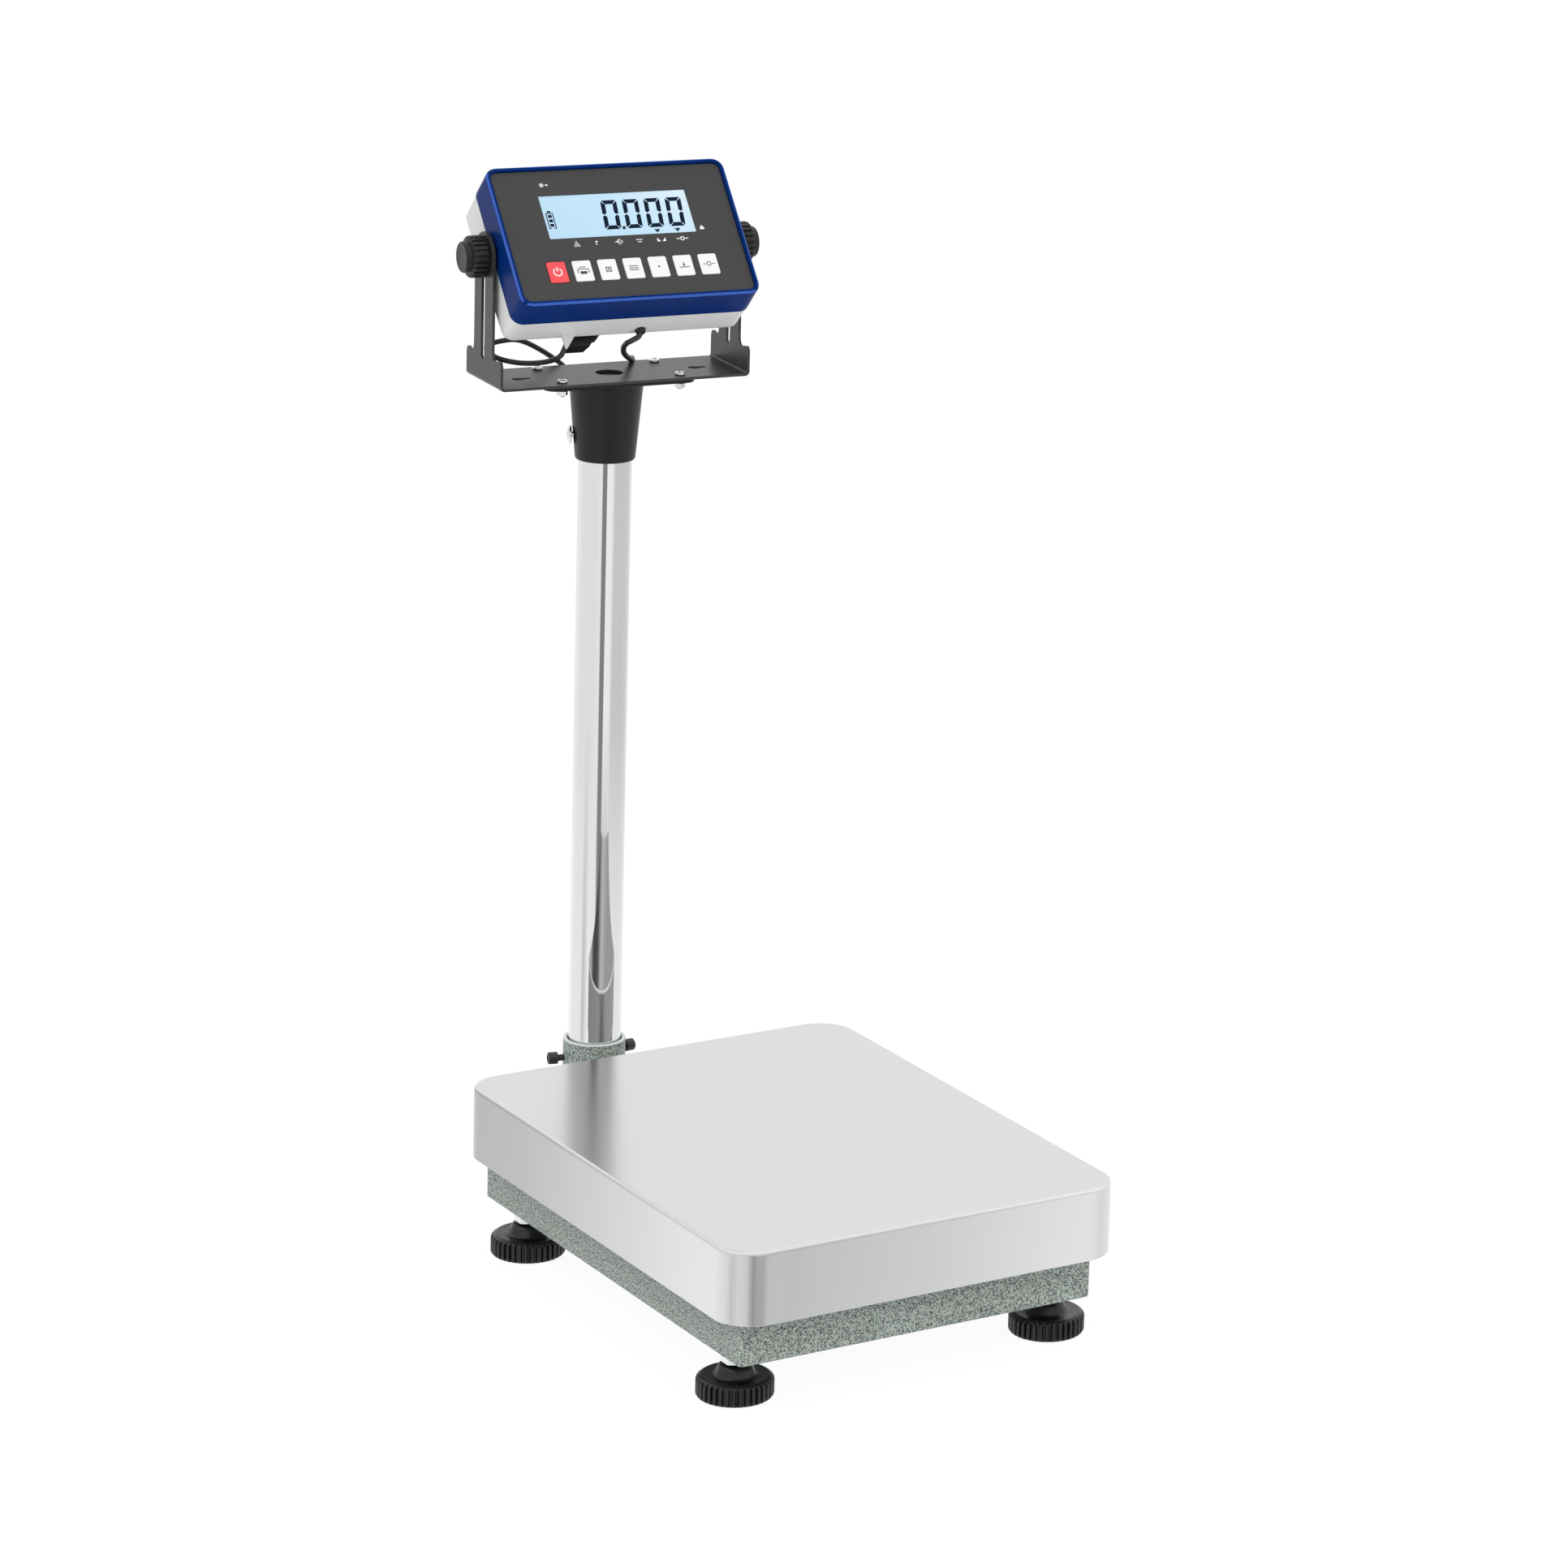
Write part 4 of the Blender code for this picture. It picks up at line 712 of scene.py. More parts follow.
# clamp screw on the cone, domed with a cross recess
dome = [(0.0021, 0.0194), (0.0025, 0.0200), (0.0025, 0.0241), (0.0066, 0.0241), (0.0070, 0.0244), (0.0070, 0.0250)]
dome += [(0.0070 * math.cos(math.radians(a)), 0.0250 + 0.0023 * math.sin(math.radians(a))) for a in (15, 30, 45, 60, 75, 86)]
cross = [merge([box(-0.0030, 0.0030, -0.0006, 0.0006, 0.0262, 0.0300)]), merge([box(-0.0006, 0.0006, -0.0030, 0.0030, 0.0262, 0.0300)])]
piece("cone_clamp_screw", turned(dome, 40), M["chrome_small"], "adapter_screw", ["adapter_clamp_screw"], along(aj["axis"], aj["pos_m"]), cuts=cross)


# ================================================================== bracket
def bend(cx, cz, r, a0, a1, n=8):
    return [(cx + r * math.cos(math.radians(a0 + (a1 - a0) * k / n)), cz + r * math.sin(math.radians(a0 + (a1 - a0) * k / n))) for k in range(n + 1)]


ARM_TOP = PIVOT_Z + ARM_BH + 0.0005
ro, ri = 0.0034, 0.0014
u_prof = [(-BR_A, ARM_TOP)] + bend(-BR_A + ro, BR_Z0 + ro, ro, 180, 270) + bend(BR_A - ro, BR_Z0 + ro, ro, 270, 360) + [(BR_A, ARM_TOP), (BR_A - SHEET, ARM_TOP)]
u_prof += bend(BR_A - SHEET - ri, BR_Z0 + SHEET + ri, ri, 360, 270) + bend(-BR_A + SHEET + ri, BR_Z0 + SHEET + ri, ri, 270, 180) + [(-BR_A + SHEET, ARM_TOP)]


def arm_side(s):
    e = ARM_B0 + s * ARM_BH
    pts = [(e, 0.6215), (e + s * 0.0003, 0.6190), (e + s * 0.0012, 0.6168), (e + s * 0.0026, 0.6154), (e + s * 0.0045, 0.6150), (e + s * 0.0058, 0.6153)]
    pts += [(s * 0.0287, 0.6163), (s * 0.0301, 0.6166), (s * 0.0313, 0.6161), (s * 0.0322, 0.6151), (s * 0.0328, 0.6136), (s * 0.0331, 0.6115), (s * 0.0365, 0.6110)]
    return pts


waste = arm_side(1) + [(0.0365, 0.7200), (-0.0365, 0.7200)] + list(reversed(arm_side(-1)))
waste += [(ARM_B0 + ARM_BH * math.sin(math.radians(a)), PIVOT_Z + ARM_BH * math.cos(math.radians(a))) for a in range(-90, 91, 6)]
PB = 0.0025
slot_pts = [(PB + 0.0031 * math.cos(math.radians(a)), 0.6890 + 0.0031 * math.sin(math.radians(a))) for a in range(0, 181, 15)]
slot_pts += [(PB + 0.0031 * math.cos(math.radians(a)), 0.6155 + 0.0031 * math.sin(math.radians(a))) for a in range(180, 361, 15)]
holes = [move(turned([(0.0098, 0.59), (0.0098, 0.60)], 48), Matrix.Translation((0, -0.001, 0)))]
holes += [move(turned([(0.0023, 0.59), (0.0023, 0.60)], 20), Matrix.Translation((a, b_, 0))) for a, b_ in SCREWS.values()]
for kx in (-0.0700, 0.0640):
    key = [(0.0040 * math.cos(math.radians(a)), 0.0042 * math.sin(math.radians(a))) for a in range(36, 325, 16)]
    key += [(0.0076, -0.0023), (0.0086, -0.0020), (0.0093, -0.0012), (0.0095, 0.0), (0.0093, 0.0012), (0.0086, 0.0020), (0.0076, 0.0023)]
    holes.append(prism([(kx + x, -0.003 + y) for x, y in key], 0.59, 0.60, at_z))
piece("tilt_bracket", prism(u_prof, -BR_B, BR_B, at_y), M["bracket"], "column", ["indicator_bracket"], TOP,
      cuts=[prism(waste, -0.12, 0.12, at_x), prism(slot_pts, -0.12, 0.12, at_x), merge(holes)], bevel=0.00035, segs=2, angle=35)

for tag, (a, b_) in SCREWS.items():
    z0 = BR_Z0 + SHEET + GAP
    hd = [(0.0014, 0.5868), (0.0019, 0.5873), (0.0019, z0), (0.0036, z0), (0.0038, z0 + 0.0002), (0.0038, z0 + 0.0009)]
    hd += [(0.0038 * math.cos(math.radians(k)), z0 + 0.0009 + 0.0017 * math.sin(math.radians(k))) for k in (15, 30, 45, 60, 75, 86)]
    rec = [box(-0.0021, 0.0021, -0.00045, 0.00045, z0 + 0.0014, z0 + 0.004), box(-0.00045, 0.00045, -0.0021, 0.0021, z0 + 0.0014, z0 + 0.004)]
    turn = Matrix.Rotation(math.radians({"fl": 20, "fr": 50, "bl": 75, "br": 5}[tag]), 4, 'Z')
    piece("pan_screw_" + tag, turned(hd, 32), M["chrome_small"], "column", ["bracket_screw_" + tag], TOP @ Matrix.Translation((a, b_, 0)) @ turn, cuts=rec)
    nt_ = loft([at_z(hexagon(0.0070, 36), 0.5884), at_z(hexagon(0.0070, 36), 0.5912), at_z(circle(0.0033, 36), 0.5913), at_z(circle(0.0025, 36), 0.5913),
                at_z(circle(0.0023, 36), 0.5911), at_z(circle(0.0023, 36), 0.5885), at_z(circle(0.0025, 36), 0.5883), at_z(circle(0.0033, 36), 0.5883)], True)
    piece("small_nut_" + tag, nt_, M["chrome_small"], "column", ["bracket_nut_" + tag], TOP @ Matrix.Translation((a, b_, 0)) @ turn, angle=24)

# ================================================================== indicator
CS = 10


def f_loop(i, d, seg=CS, minr=0.0008):
    return at_y(rrect(IND_W - 2 * i, IND_H - 2 * i, max(IND_R - i, minr), seg, 0, FACE_U), FACE_Y + d)


def rear_depth(u):
    return 0.0555 + 0.060 * (u - FACE_U)


def shell_loop(i, back, seg=CS):
    pts = rrect(IND_W - 2 * i, IND_H - 2 * i, max(IND_R - i, 0.0008), seg, 0, FACE_U)
    return [(x, FACE_Y + rear_depth(u) - back, u) for x, u in pts]


bz = [f_loop(0.0004, BEZEL_D), f_loop(0.0, BEZEL_D - 0.0004), f_loop(0.0, 0.0024)]
for a in (20, 40, 60, 80, 90):
    a = math.radians(a)
    bz.append(f_loop(0.0018 * (1 - math.cos(a)), 0.0022 - 0.0022 * math.sin(a)))
bz += [f_loop(0.0027, 0.0), f_loop(0.0031, 0.0001), f_loop(0.0034, 0.0005), f_loop(0.0035, 0.0011), f_loop(0.0035, 0.0033), f_loop(0.0083, 0.0033), f_loop(0.0083, 0.0055),
       f_loop(0.0027, 0.0055), f_loop(0.0027, BEZEL_D)]
piece("bezel_shell", loft(bz, True), [M["blue"], M["blue_rim"]], "indicator", ["front_bezel"], IND, angle=44)
# Painted highlight: the rounded outer front edge of the bezel ring gets the paler blue, standing in for the light
# catching that edge.
bzo = bpy.data.objects["bezel_shell"]
inv = IND.inverted()
for p in bzo.data.polygons:
    q = inv @ p.center
    nf = -p.normal.dot(INW)
    if 0.30 < nf < 0.96 and (abs(q.x) > IND_W / 2 - 0.0020 or abs(q.z - FACE_U) > IND_H / 2 - 0.0020):
        p.material_index = 1

rr = 0.0050
sl = [shell_loop(0.0085, 0.0026), shell_loop(0.0055, 0.0032), shell_loop(0.0036, 0.0062), f_loop(0.0031, BEZEL_D + GAP), f_loop(0.0010, BEZEL_D + GAP), f_loop(0.0006, BEZEL_D + GAP + 0.0004), shell_loop(0.0010, rr)]
for a in (15, 30, 45, 60, 75, 90):
    a = math.radians(a)
    sl.append(shell_loop(0.0010 + rr * (1 - math.cos(a)), rr - rr * math.sin(a)))
fin = [(-0.0475, -0.0587), (-0.0360, -0.0587), (-0.0449, -0.0698), (-0.0455, -0.0705), (-0.0461, -0.0708), (-0.0467, -0.0706), (-0.0470, -0.0700)]
piece("back_shell", loft(sl), M["grey"], "indicator", ["rear_housing"], IND,
      joins=[prism(fin, 0.0134, 0.0158, at_y)],
      cuts=[merge([move(turned([(0.0029, -0.1), (0.0029, 0.1)], 24), along((1, 0, 0), (0, 0, 0))),
                   prism([(-0.0360, -0.0490), (-0.0200, -0.0490), (-0.0200, -0.0420), (-0.0360, -0.0420)], 0.0100, 0.0300, at_y)])],
      angle=38)

LCD_U, LCD_W, LCD_H = FACE_U + 0.0150, 0.1108, 0.0360
BTN_U, BTN_P, BTN_W, BTN_H = FACE_U - 0.0306, 0.0190, 0.0138, 0.0169
pc = [prism(rrect(LCD_W, LCD_H, 0.0006, 3, 0, LCD_U), FACE_Y, FACE_Y + 0.006, at_y)]
for k in range(7):
    pc.append(prism(rrect(BTN_W + 0.0007, BTN_H + 0.0007, 0.0015, 6, (k - 3) * BTN_P, BTN_U), FACE_Y, FACE_Y + 0.006, at_y))
piece("overlay_panel", prism(rrect(0.1730, 0.1069, 0.0050, 8, 0, FACE_U), FACE_Y + 0.0018, FACE_Y + 0.0030, at_y), M["panel"], "indicator", ["front_panel"], IND,
      cuts=[merge(pc)], bevel=0.00012, segs=2)
piece("lcd_cover", prism(rrect(LCD_W - 0.0007, LCD_H - 0.0007, 0.0004, 3, 0, LCD_U), FACE_Y + 0.0021, FACE_Y + 0.0028, at_y), M["window"], "indicator", ["display_window"], IND,
      bevel=0.0001, segs=1)
piece("lcd_glass", prism(rrect(0.1180, 0.0420, 0.0010, 3, 0, LCD_U), FACE_Y + 0.0036, FACE_Y + 0.0105, at_y), M["display"], "indicator", ["display_module"], IND, bevel=0.0002, segs=1)

BTN = ["button_1_power", "button_2_print", "button_3_count", "button_4_mode", "button_5_point", "button_6_tare", "button_7_zero"]
for k, nm in enumerate(BTN):
    bx = (k - 3) * BTN_P
    bl = [at_y(rrect(BTN_W, BTN_H, 0.0013, 6, bx, BTN_U), FACE_Y + 0.0080), at_y(rrect(BTN_W, BTN_H, 0.0013, 6, bx, BTN_U), FACE_Y + 0.0017)]
    for a in (30, 60, 90):
        a = math.radians(a)
        d = 0.00035 * (1 - math.cos(a))
        bl.append(at_y(rrect(BTN_W - 2 * d, BTN_H - 2 * d, 0.0013 - d, 6, bx, BTN_U), FACE_Y + 0.00165 - 0.00035 * math.sin(a)))
    piece(nm.replace("button", "keycap"), loft(bl), M["red_key"] if k == 0 else M["white_key"], nm.replace("button_", "key_"), [nm], IND)

# ------------------------------------------------------------------ printed marks: thin raised ink, generic pictograms only
INK = 0.00005


def flat_poly(pts, y):
    """Thin solid from a planar outline in panel coordinates (right, up)."""
    return prism(pts, y, y + INK, at_y)


def stroke(p0, p1, w, y, ext=0.0):
    d = Vector((p1[0] - p0[0], p1[1] - p0[1]))
    L = d.length
    d /= L
    nrm = Vector((-d.y, d.x)) * (w / 2)
    a = Vector(p0) - d * ext
    b2 = Vector(p1) + d * ext
    return flat_poly([tuple(a - nrm), tuple(b2 - nrm), tuple(b2 + nrm), tuple(a + nrm)], y)


def ring_arc(cx, cz, r, w, a0, a1, y, n=28):
    outer = [(cx + (r + w / 2) * math.cos(math.radians(a0 + (a1 - a0) * i / n)), cz + (r + w / 2) * math.sin(math.radians(a0 + (a1 - a0) * i / n))) for i in range(n + 1)]
    inner = [(cx + (r - w / 2) * math.cos(math.radians(a0 + (a1 - a0) * i / n)), cz + (r - w / 2) * math.sin(math.radians(a0 + (a1 - a0) * i / n))) for i in range(n + 1)]
    bm = bmesh.new()
    fr = [[bm.verts.new((p[0], yy, p[1])) for p in src] for yy in (y, y + INK) for src in (outer, inner)]
    of, inf, ob_, ib = fr
    full = abs(a1 - a0) >= 359.9
    m_ = n if full else n
    for i in range(m_):
        j = (i + 1) % n if full else i + 1
        bm.faces.new((of[i], of[j], inf[j], inf[i]))
        bm.faces.new((ob_[i], ib[i], ib[j], ob_[j]))
        bm.faces.new((of[i], ob_[i], ob_[j], of[j]))
        bm.faces.new((inf[i], inf[j], ib[j], ib[i]))
    if not full:
        bm.faces.new((of[0], inf[0], ib[0], ob_[0]))
        bm.faces.new((of[-1], ob_[-1], ib[-1], inf[-1]))
    else:
        for lst in fr:
            if lst[-1].link_faces[:] == []:
                bm.verts.remove(lst[-1])
    return bm


def disc(cx, cz, r, y, n=20):
    return flat_poly([(cx + r * math.cos(2 * math.pi * i / n), cz + r * math.sin(2 * math.pi * i / n)) for i in range(n)], y)


def grown(items, cx, cz, k):
    """The marks in items as one mesh, k times larger about the point (cx, cz) of the panel."""
    return move(merge(items), Matrix.Translation((cx, 0, cz)) @ Matrix.Diagonal((k, 1, k, 1)) @ Matrix.Translation((-cx, 0, -cz)))


YK = FACE_Y + 0.0013 - INK
KW = 0.00045
icons = {}
c0 = (-3 * BTN_P, BTN_U)
icons[0] = [ring_arc(c0[0], c0[1], 0.0030, 0.00085, 122, 418, YK, 36), stroke((c0[0], c0[1] + 0.0007), (c0[0], c0[1] + 0.0040), 0.00085, YK)]
c1 = (-2 * BTN_P, BTN_U)
icons[1] = [stroke((c1[0] - 0.0030, c1[1] + 0.0010), (c1[0] + 0.0030, c1[1] + 0.0010), KW, YK, 0.0002), stroke((c1[0] - 0.0030, c1[1] - 0.0014), (c1[0] - 0.0030, c1[1] + 0.0008), KW, YK),
            stroke((c1[0] + 0.0030, c1[1] - 0.0014), (c1[0] + 0.0030, c1[1] + 0.0008), KW, YK), flat_poly([(c1[0] - 0.0018, c1[1] - 0.0020), (c1[0] + 0.0018, c1[1] - 0.0020), (c1[0] + 0.0018, c1[1] - 0.0003), (c1[0] - 0.0018, c1[1] - 0.0003)], YK),
            stroke((c1[0] - 0.0018, c1[1] + 0.0022), (c1[0] + 0.0018, c1[1] + 0.0022), KW, YK)]
c2 = (-1 * BTN_P, BTN_U)
icons[2] = [flat_poly([(c2[0] + dx - 0.00042, c2[1] + dz - 0.00042), (c2[0] + dx + 0.00042, c2[1] + dz - 0.00042), (c2[0] + dx + 0.00042, c2[1] + dz + 0.00042), (c2[0] + dx - 0.00042, c2[1] + dz + 0.00042)], YK)
            for dx in (-0.0012, 0, 0.0012) for dz in (-0.0012, 0, 0.0012)]
c3 = (0.0, BTN_U)
icons[3] = [stroke((c3[0] - 0.0026, c3[1] + dz), (c3[0] + 0.0026, c3[1] + dz), KW, YK) for dz in (-0.0012, 0.0, 0.0012)]
c4 = (BTN_P, BTN_U)
icons[4] = [disc(c4[0], c4[1], 0.00055, YK)]
c5 = (2 * BTN_P, BTN_U)
icons[5] = [stroke((c5[0] - 0.0028, c5[1] - 0.0012), (c5[0] + 0.0028, c5[1] - 0.0012), KW, YK), stroke((c5[0], c5[1] + 0.0019), (c5[0], c5[1] + 0.0002), KW, YK),
            flat_poly([(c5[0] - 0.0010, c5[1] + 0.0004), (c5[0], c5[1] - 0.0008), (c5[0] + 0.0010, c5[1] + 0.0004)], YK)]
c6 = (3 * BTN_P, BTN_U)
icons[6] = [ring_arc(c6[0], c6[1], 0.00115, KW, 0, 360, YK, 28), stroke((c6[0] - 0.0033, c6[1]), (c6[0] - 0.0018, c6[1]), KW, YK), stroke((c6[0] + 0.0018, c6[1]), (c6[0] + 0.0033, c6[1]), KW, YK)]
for k, nm in enumerate(BTN):
    piece("keymark_" + str(k + 1), grown(icons[k], (k - 3) * BTN_P, BTN_U, 1.0 if k == 0 else 1.35), M["white_print"] if k == 0 else M["dark_print"], nm.replace("button_", "key_"), (), IND)

# legends on the overlay, white
YP = FACE_Y + 0.0018 - INK
LU = FACE_U - 0.0081
W = 0.00042
leg = []


# pile of dots
dots_ = []
for row, cnt in enumerate((1, 2, 3, 4)):
    for i in range(cnt):
        dots_.append(disc(-0.0369 + (i - (cnt - 1) / 2) * 0.00092, LU + 0.0014 - row * 0.00092, 0.00034, YP, 10))
leg.append(grown(dots_, -0.0369, LU, 1.35))
# flag
leg.append(grown([stroke((-0.0222, LU - 0.0013), (-0.0222, LU + 0.0013), W, YP), flat_poly([(-0.0220, LU + 0.0013), (-0.0208, LU + 0.0008), (-0.0220, LU + 0.0003)], YP)], -0.0218, LU, 1.3))
# tilted square with arrow
dx, dz = -0.0047, LU
dm = [(dx - 0.0017, dz), (dx, dz - 0.0015), (dx + 0.0017, dz), (dx, dz + 0.0015)]
sq_ = [stroke(dm[i], dm[(i + 1) % 4], 0.00034, YP, 0.0001) for i in range(4)]
sq_ += [stroke((dx - 0.0026, dz), (dx - 0.0004, dz), 0.00034, YP), flat_poly([(dx - 0.0006, dz - 0.0006), (dx + 0.0003, dz), (dx - 0.0006, dz + 0.0006)], YP)]
leg.append(grown(sq_, dx, dz, 1.35))
# two stacked bars
leg.append(grown([stroke((0.0086, LU + 0.0007), (0.0122, LU + 0.0007), W, YP), stroke((0.0092, LU - 0.0007), (0.0116, LU - 0.0007), W, YP)], 0.0104, LU, 1.3))
# balance wedges
leg.append(grown([flat_poly([(0.0247, LU + 0.0011), (0.0247, LU - 0.0011), (0.0265, LU - 0.0011)], YP), flat_poly([(0.0292, LU + 0.0011), (0.0274, LU - 0.0011), (0.0292, LU - 0.0011)], YP)], 0.0269, LU, 1.4))
# centred ring between dashes
leg.append(grown([ring_arc(0.0430, LU, 0.0010, 0.00050, 0, 360, YP, 24), stroke((0.0397, LU), (0.0415, LU), 0.0005, YP), stroke((0.0445, LU), (0.0463, LU), 0.0005, YP)], 0.0430, LU, 1.35))
# small weight shape where the unit is read
wx, wz = 0.0600, FACE_U + 0.0001
leg.append(grown([flat_poly([(wx - 0.0015, wz - 0.0012), (wx + 0.0015, wz - 0.0012), (wx + 0.0010, wz + 0.0006), (wx - 0.0010, wz + 0.0006)], YP), ring_arc(wx, wz + 0.0010, 0.00045, 0.00030, 0, 360, YP, 16)], wx, wz, 1.2))
# mains lamp: ring, lens and a small plug shape
lx, lz = -0.0507, FACE_U + 0.0417
leg += [ring_arc(lx, lz, 0.00145, 0.00036, 0, 360, YP, 24), disc(lx, lz, 0.00085, YP, 18)]
leg += [stroke((lx + 0.0028, lz), (lx + 0.0040, lz), 0.0012, YP), stroke((lx + 0.0040, lz + 0.0004), (lx + 0.0049, lz + 0.0004), 0.0003, YP), stroke((lx + 0.0040, lz - 0.0004), (lx + 0.0049, lz - 0.0004), 0.0003, YP)]
piece("panel_marks", merge(leg), M["white_print"], "indicator", (), IND)

# ------------------------------------------------------------------ display segments
YS = FACE_Y + 0.0036 - 0.0001
SH = 2.0 / 24.0                       # slant


def seg_poly(pts, ox, oz):
    return prism([(ox + (x + z * SH) * 0.001, oz + z * 0.001) for x, z in pts], YS, YS + 0.0001, at_y)


def digit(ox, oz, w=12.1, h=24.2, tk=3.2, gap=0.26):
    """Seven-segment zero, origin at its lower left."""
    hh = h / 2
    g = gap
    out = []
    c = tk / 2
    # horizontal top and bottom, trapezoids
    out.append([(g + 0.5, 0), (w - g - 0.5, 0), (w - tk - g + 0.2, tk), (tk + g - 0.2, tk)])
    out.append([(tk + g - 0.2, h - tk), (w - tk - g + 0.2, h - tk), (w - g - 0.5, h), (g + 0.5, h)])
    # verticals
    out.append([(0, g + 0.5), (tk, tk + g - 0.1), (tk, hh - c - g * 0.5), (c, hh - g), (0, hh - c * 0.55 - g)])
    out.append([(0, hh + c * 0.55 + g), (c, hh + g), (tk, hh + c + g * 0.5), (tk, h - tk - g + 0.1), (0, h - g - 0.5)])
    out.append([(w, g + 0.5), (w, hh - c * 0.55 - g), (w - c, hh - g), (w - tk, hh - c - g * 0.5), (w - tk, tk + g - 0.1)])
    out.append([(w, hh + c * 0.55 + g), (w, h - g - 0.5), (w - tk, h - tk - g + 0.1), (w - tk, hh + c + g * 0.5), (w - c, hh + g)])
    return [seg_poly(p, ox, oz) for p in out]


segs_ = []
D0 = FACE_U + 0.0035
for i in range(4):
    segs_ += digit(-0.0117 + i * 0.01630, D0)
segs_.append(seg_poly([(0, 0), (2.2, 0), (2.2, 2.4), (0, 2.4)], 0.0013, D0 - 0.0004))
for ax_ in (0.0268, 0.0422):
    segs_.append(prism([(ax_ - 0.0023, FACE_U + 0.0017), (ax_, FACE_U - 0.0012), (ax_ + 0.0023, FACE_U + 0.0017)], YS, YS + 0.0001, at_y))


def rect(x0, x1, z0, z1):
    return prism([(x0, z0), (x1, z0), (x1, z1), (x0, z1)], YS, YS + 0.0001, at_y)


bx0, bx1, bz0, bz1 = -0.0529, -0.0473, FACE_U + 0.0064, FACE_U + 0.0196
lw = 0.00070
segs_ += [rect(bx0, bx0 + lw, bz0, bz1), rect(bx1 - lw, bx1, bz0, bz1), rect(bx0 + lw + 0.0001, bx1 - lw - 0.0001, bz1 - lw, bz1),
          rect(bx0 + lw + 0.0001, bx0 + 0.0020, bz0, bz0 + lw), rect(bx1 - 0.0020, bx1 - lw - 0.0001, bz0, bz0 + lw), rect((bx0 + bx1) / 2 - 0.0013, (bx0 + bx1) / 2 + 0.0013, bz1 + 0.0003, bz1 + 0.0016)]
for i in range(3):
    z = bz0 + 0.0017 + i * 0.0037
    segs_.append(rect(bx0 + 0.0014, bx1 - 0.0014, z, z + 0.0024))
piece("lcd_segments", merge(segs_), M["segment"], "indicator", (), IND, angle=20)

# ------------------------------------------------------------------ washers and knobs
for side, s in (("left", -1), ("right", 1)):
    m = IND @ along((s, 0, 0), (0, 0, 0))
    piece("washer_" + side, turned([(0.0079, 0.0907), (0.0080, 0.0908), (0.0080, 0.0921), (0.0079, 0.0922), (0.0031, 0.0922), (0.0030, 0.0921), (0.0030, 0.0908), (0.0031, 0.0907)], 48, True),
          M["black"], "carriage", ["pivot_washer_" + side], m)
    KR = 22
    KP = 10
    n = KR * KP

    def knurl(r_hi, r_lo, z, wid=0.30):
        pts = []
        for k in range(n):
            ph = (k % KP) / KP
            w = 0.5 + 0.5 * math.cos(2 * math.pi * ph)
            w = min(1.0, max(0.0, (w - 0.10) / wid))
            w = w * w * (3 - 2 * w)
            r = r_lo + (r_hi - r_lo) * w
            a = 2 * math.pi * k / n
            pts.append((r * math.cos(a), r * math.sin(a), z))
        return pts

    kc = lambda r, z: at_z(circle(r, n), z)
    kb = [kc(0.0019, 0.0790), kc(0.0025, 0.0796), kc(0.0025, BR_A + GAP), kc(0.0128, BR_A + GAP), kc(0.0134, BR_A + GAP + 0.0002),
          knurl(0.0147, 0.0135, BR_A + 0.0010), knurl(0.0150, 0.0135, BR_A + 0.0015), knurl(0.0150, 0.0135, BR_A + 0.0102), knurl(0.0147, 0.0133, BR_A + 0.0110), knurl(0.0137, 0.0128, BR_A + 0.0117),
          kc(0.0122, BR_A + 0.0120), kc(0.0115, BR_A + 0.0119), kc(0.0112, BR_A + 0.0121), kc(0.0112, BR_A + 0.0152), kc(0.0110, BR_A + 0.0159), kc(0.0105, BR_A + 0.0164), kc(0.0099, BR_A + 0.0166),
          kc(0.0094, BR_A + 0.0165), kc(0.0060, BR_A + 0.0163), kc(0.0020, BR_A + 0.0163)]
    piece("knob_body_" + side, loft(kb), M["black"], "knob_" + side, ["side_knob_" + side], m, angle=42)

# ------------------------------------------------------------------ connector plug
ph = [(-0.0376, -0.0550), (-0.0408, -0.0625), (-0.0392, -0.0640), (-0.0266, -0.0640), (-0.0205, -0.0597), (-0.0207, -0.0575), (-0.0159, -0.0562), (-0.0097, -0.0500),
      (-0.0120, -0.0460), (-0.0376, -0.0460)]
piece("connector_hood", prism(ph, 0.0236, 0.0335, at_y), M["black"], "indicator", ["cell_plug"], IND,
      joins=[prism([(-0.0355, -0.0485), (-0.0205, -0.0485), (-0.0205, -0.0465), (-0.0355, -0.0465)], 0.0175, 0.0240, at_y)], bevel=0.0006, segs=3, angle=40)


# ------------------------------------------------------------------ cables, split where they cross joints
def H(a, b_, z):
    return HEAD @ Vector((a, b_, z))


def C(x, y, z):
    return AX + Vector((x, y, z))


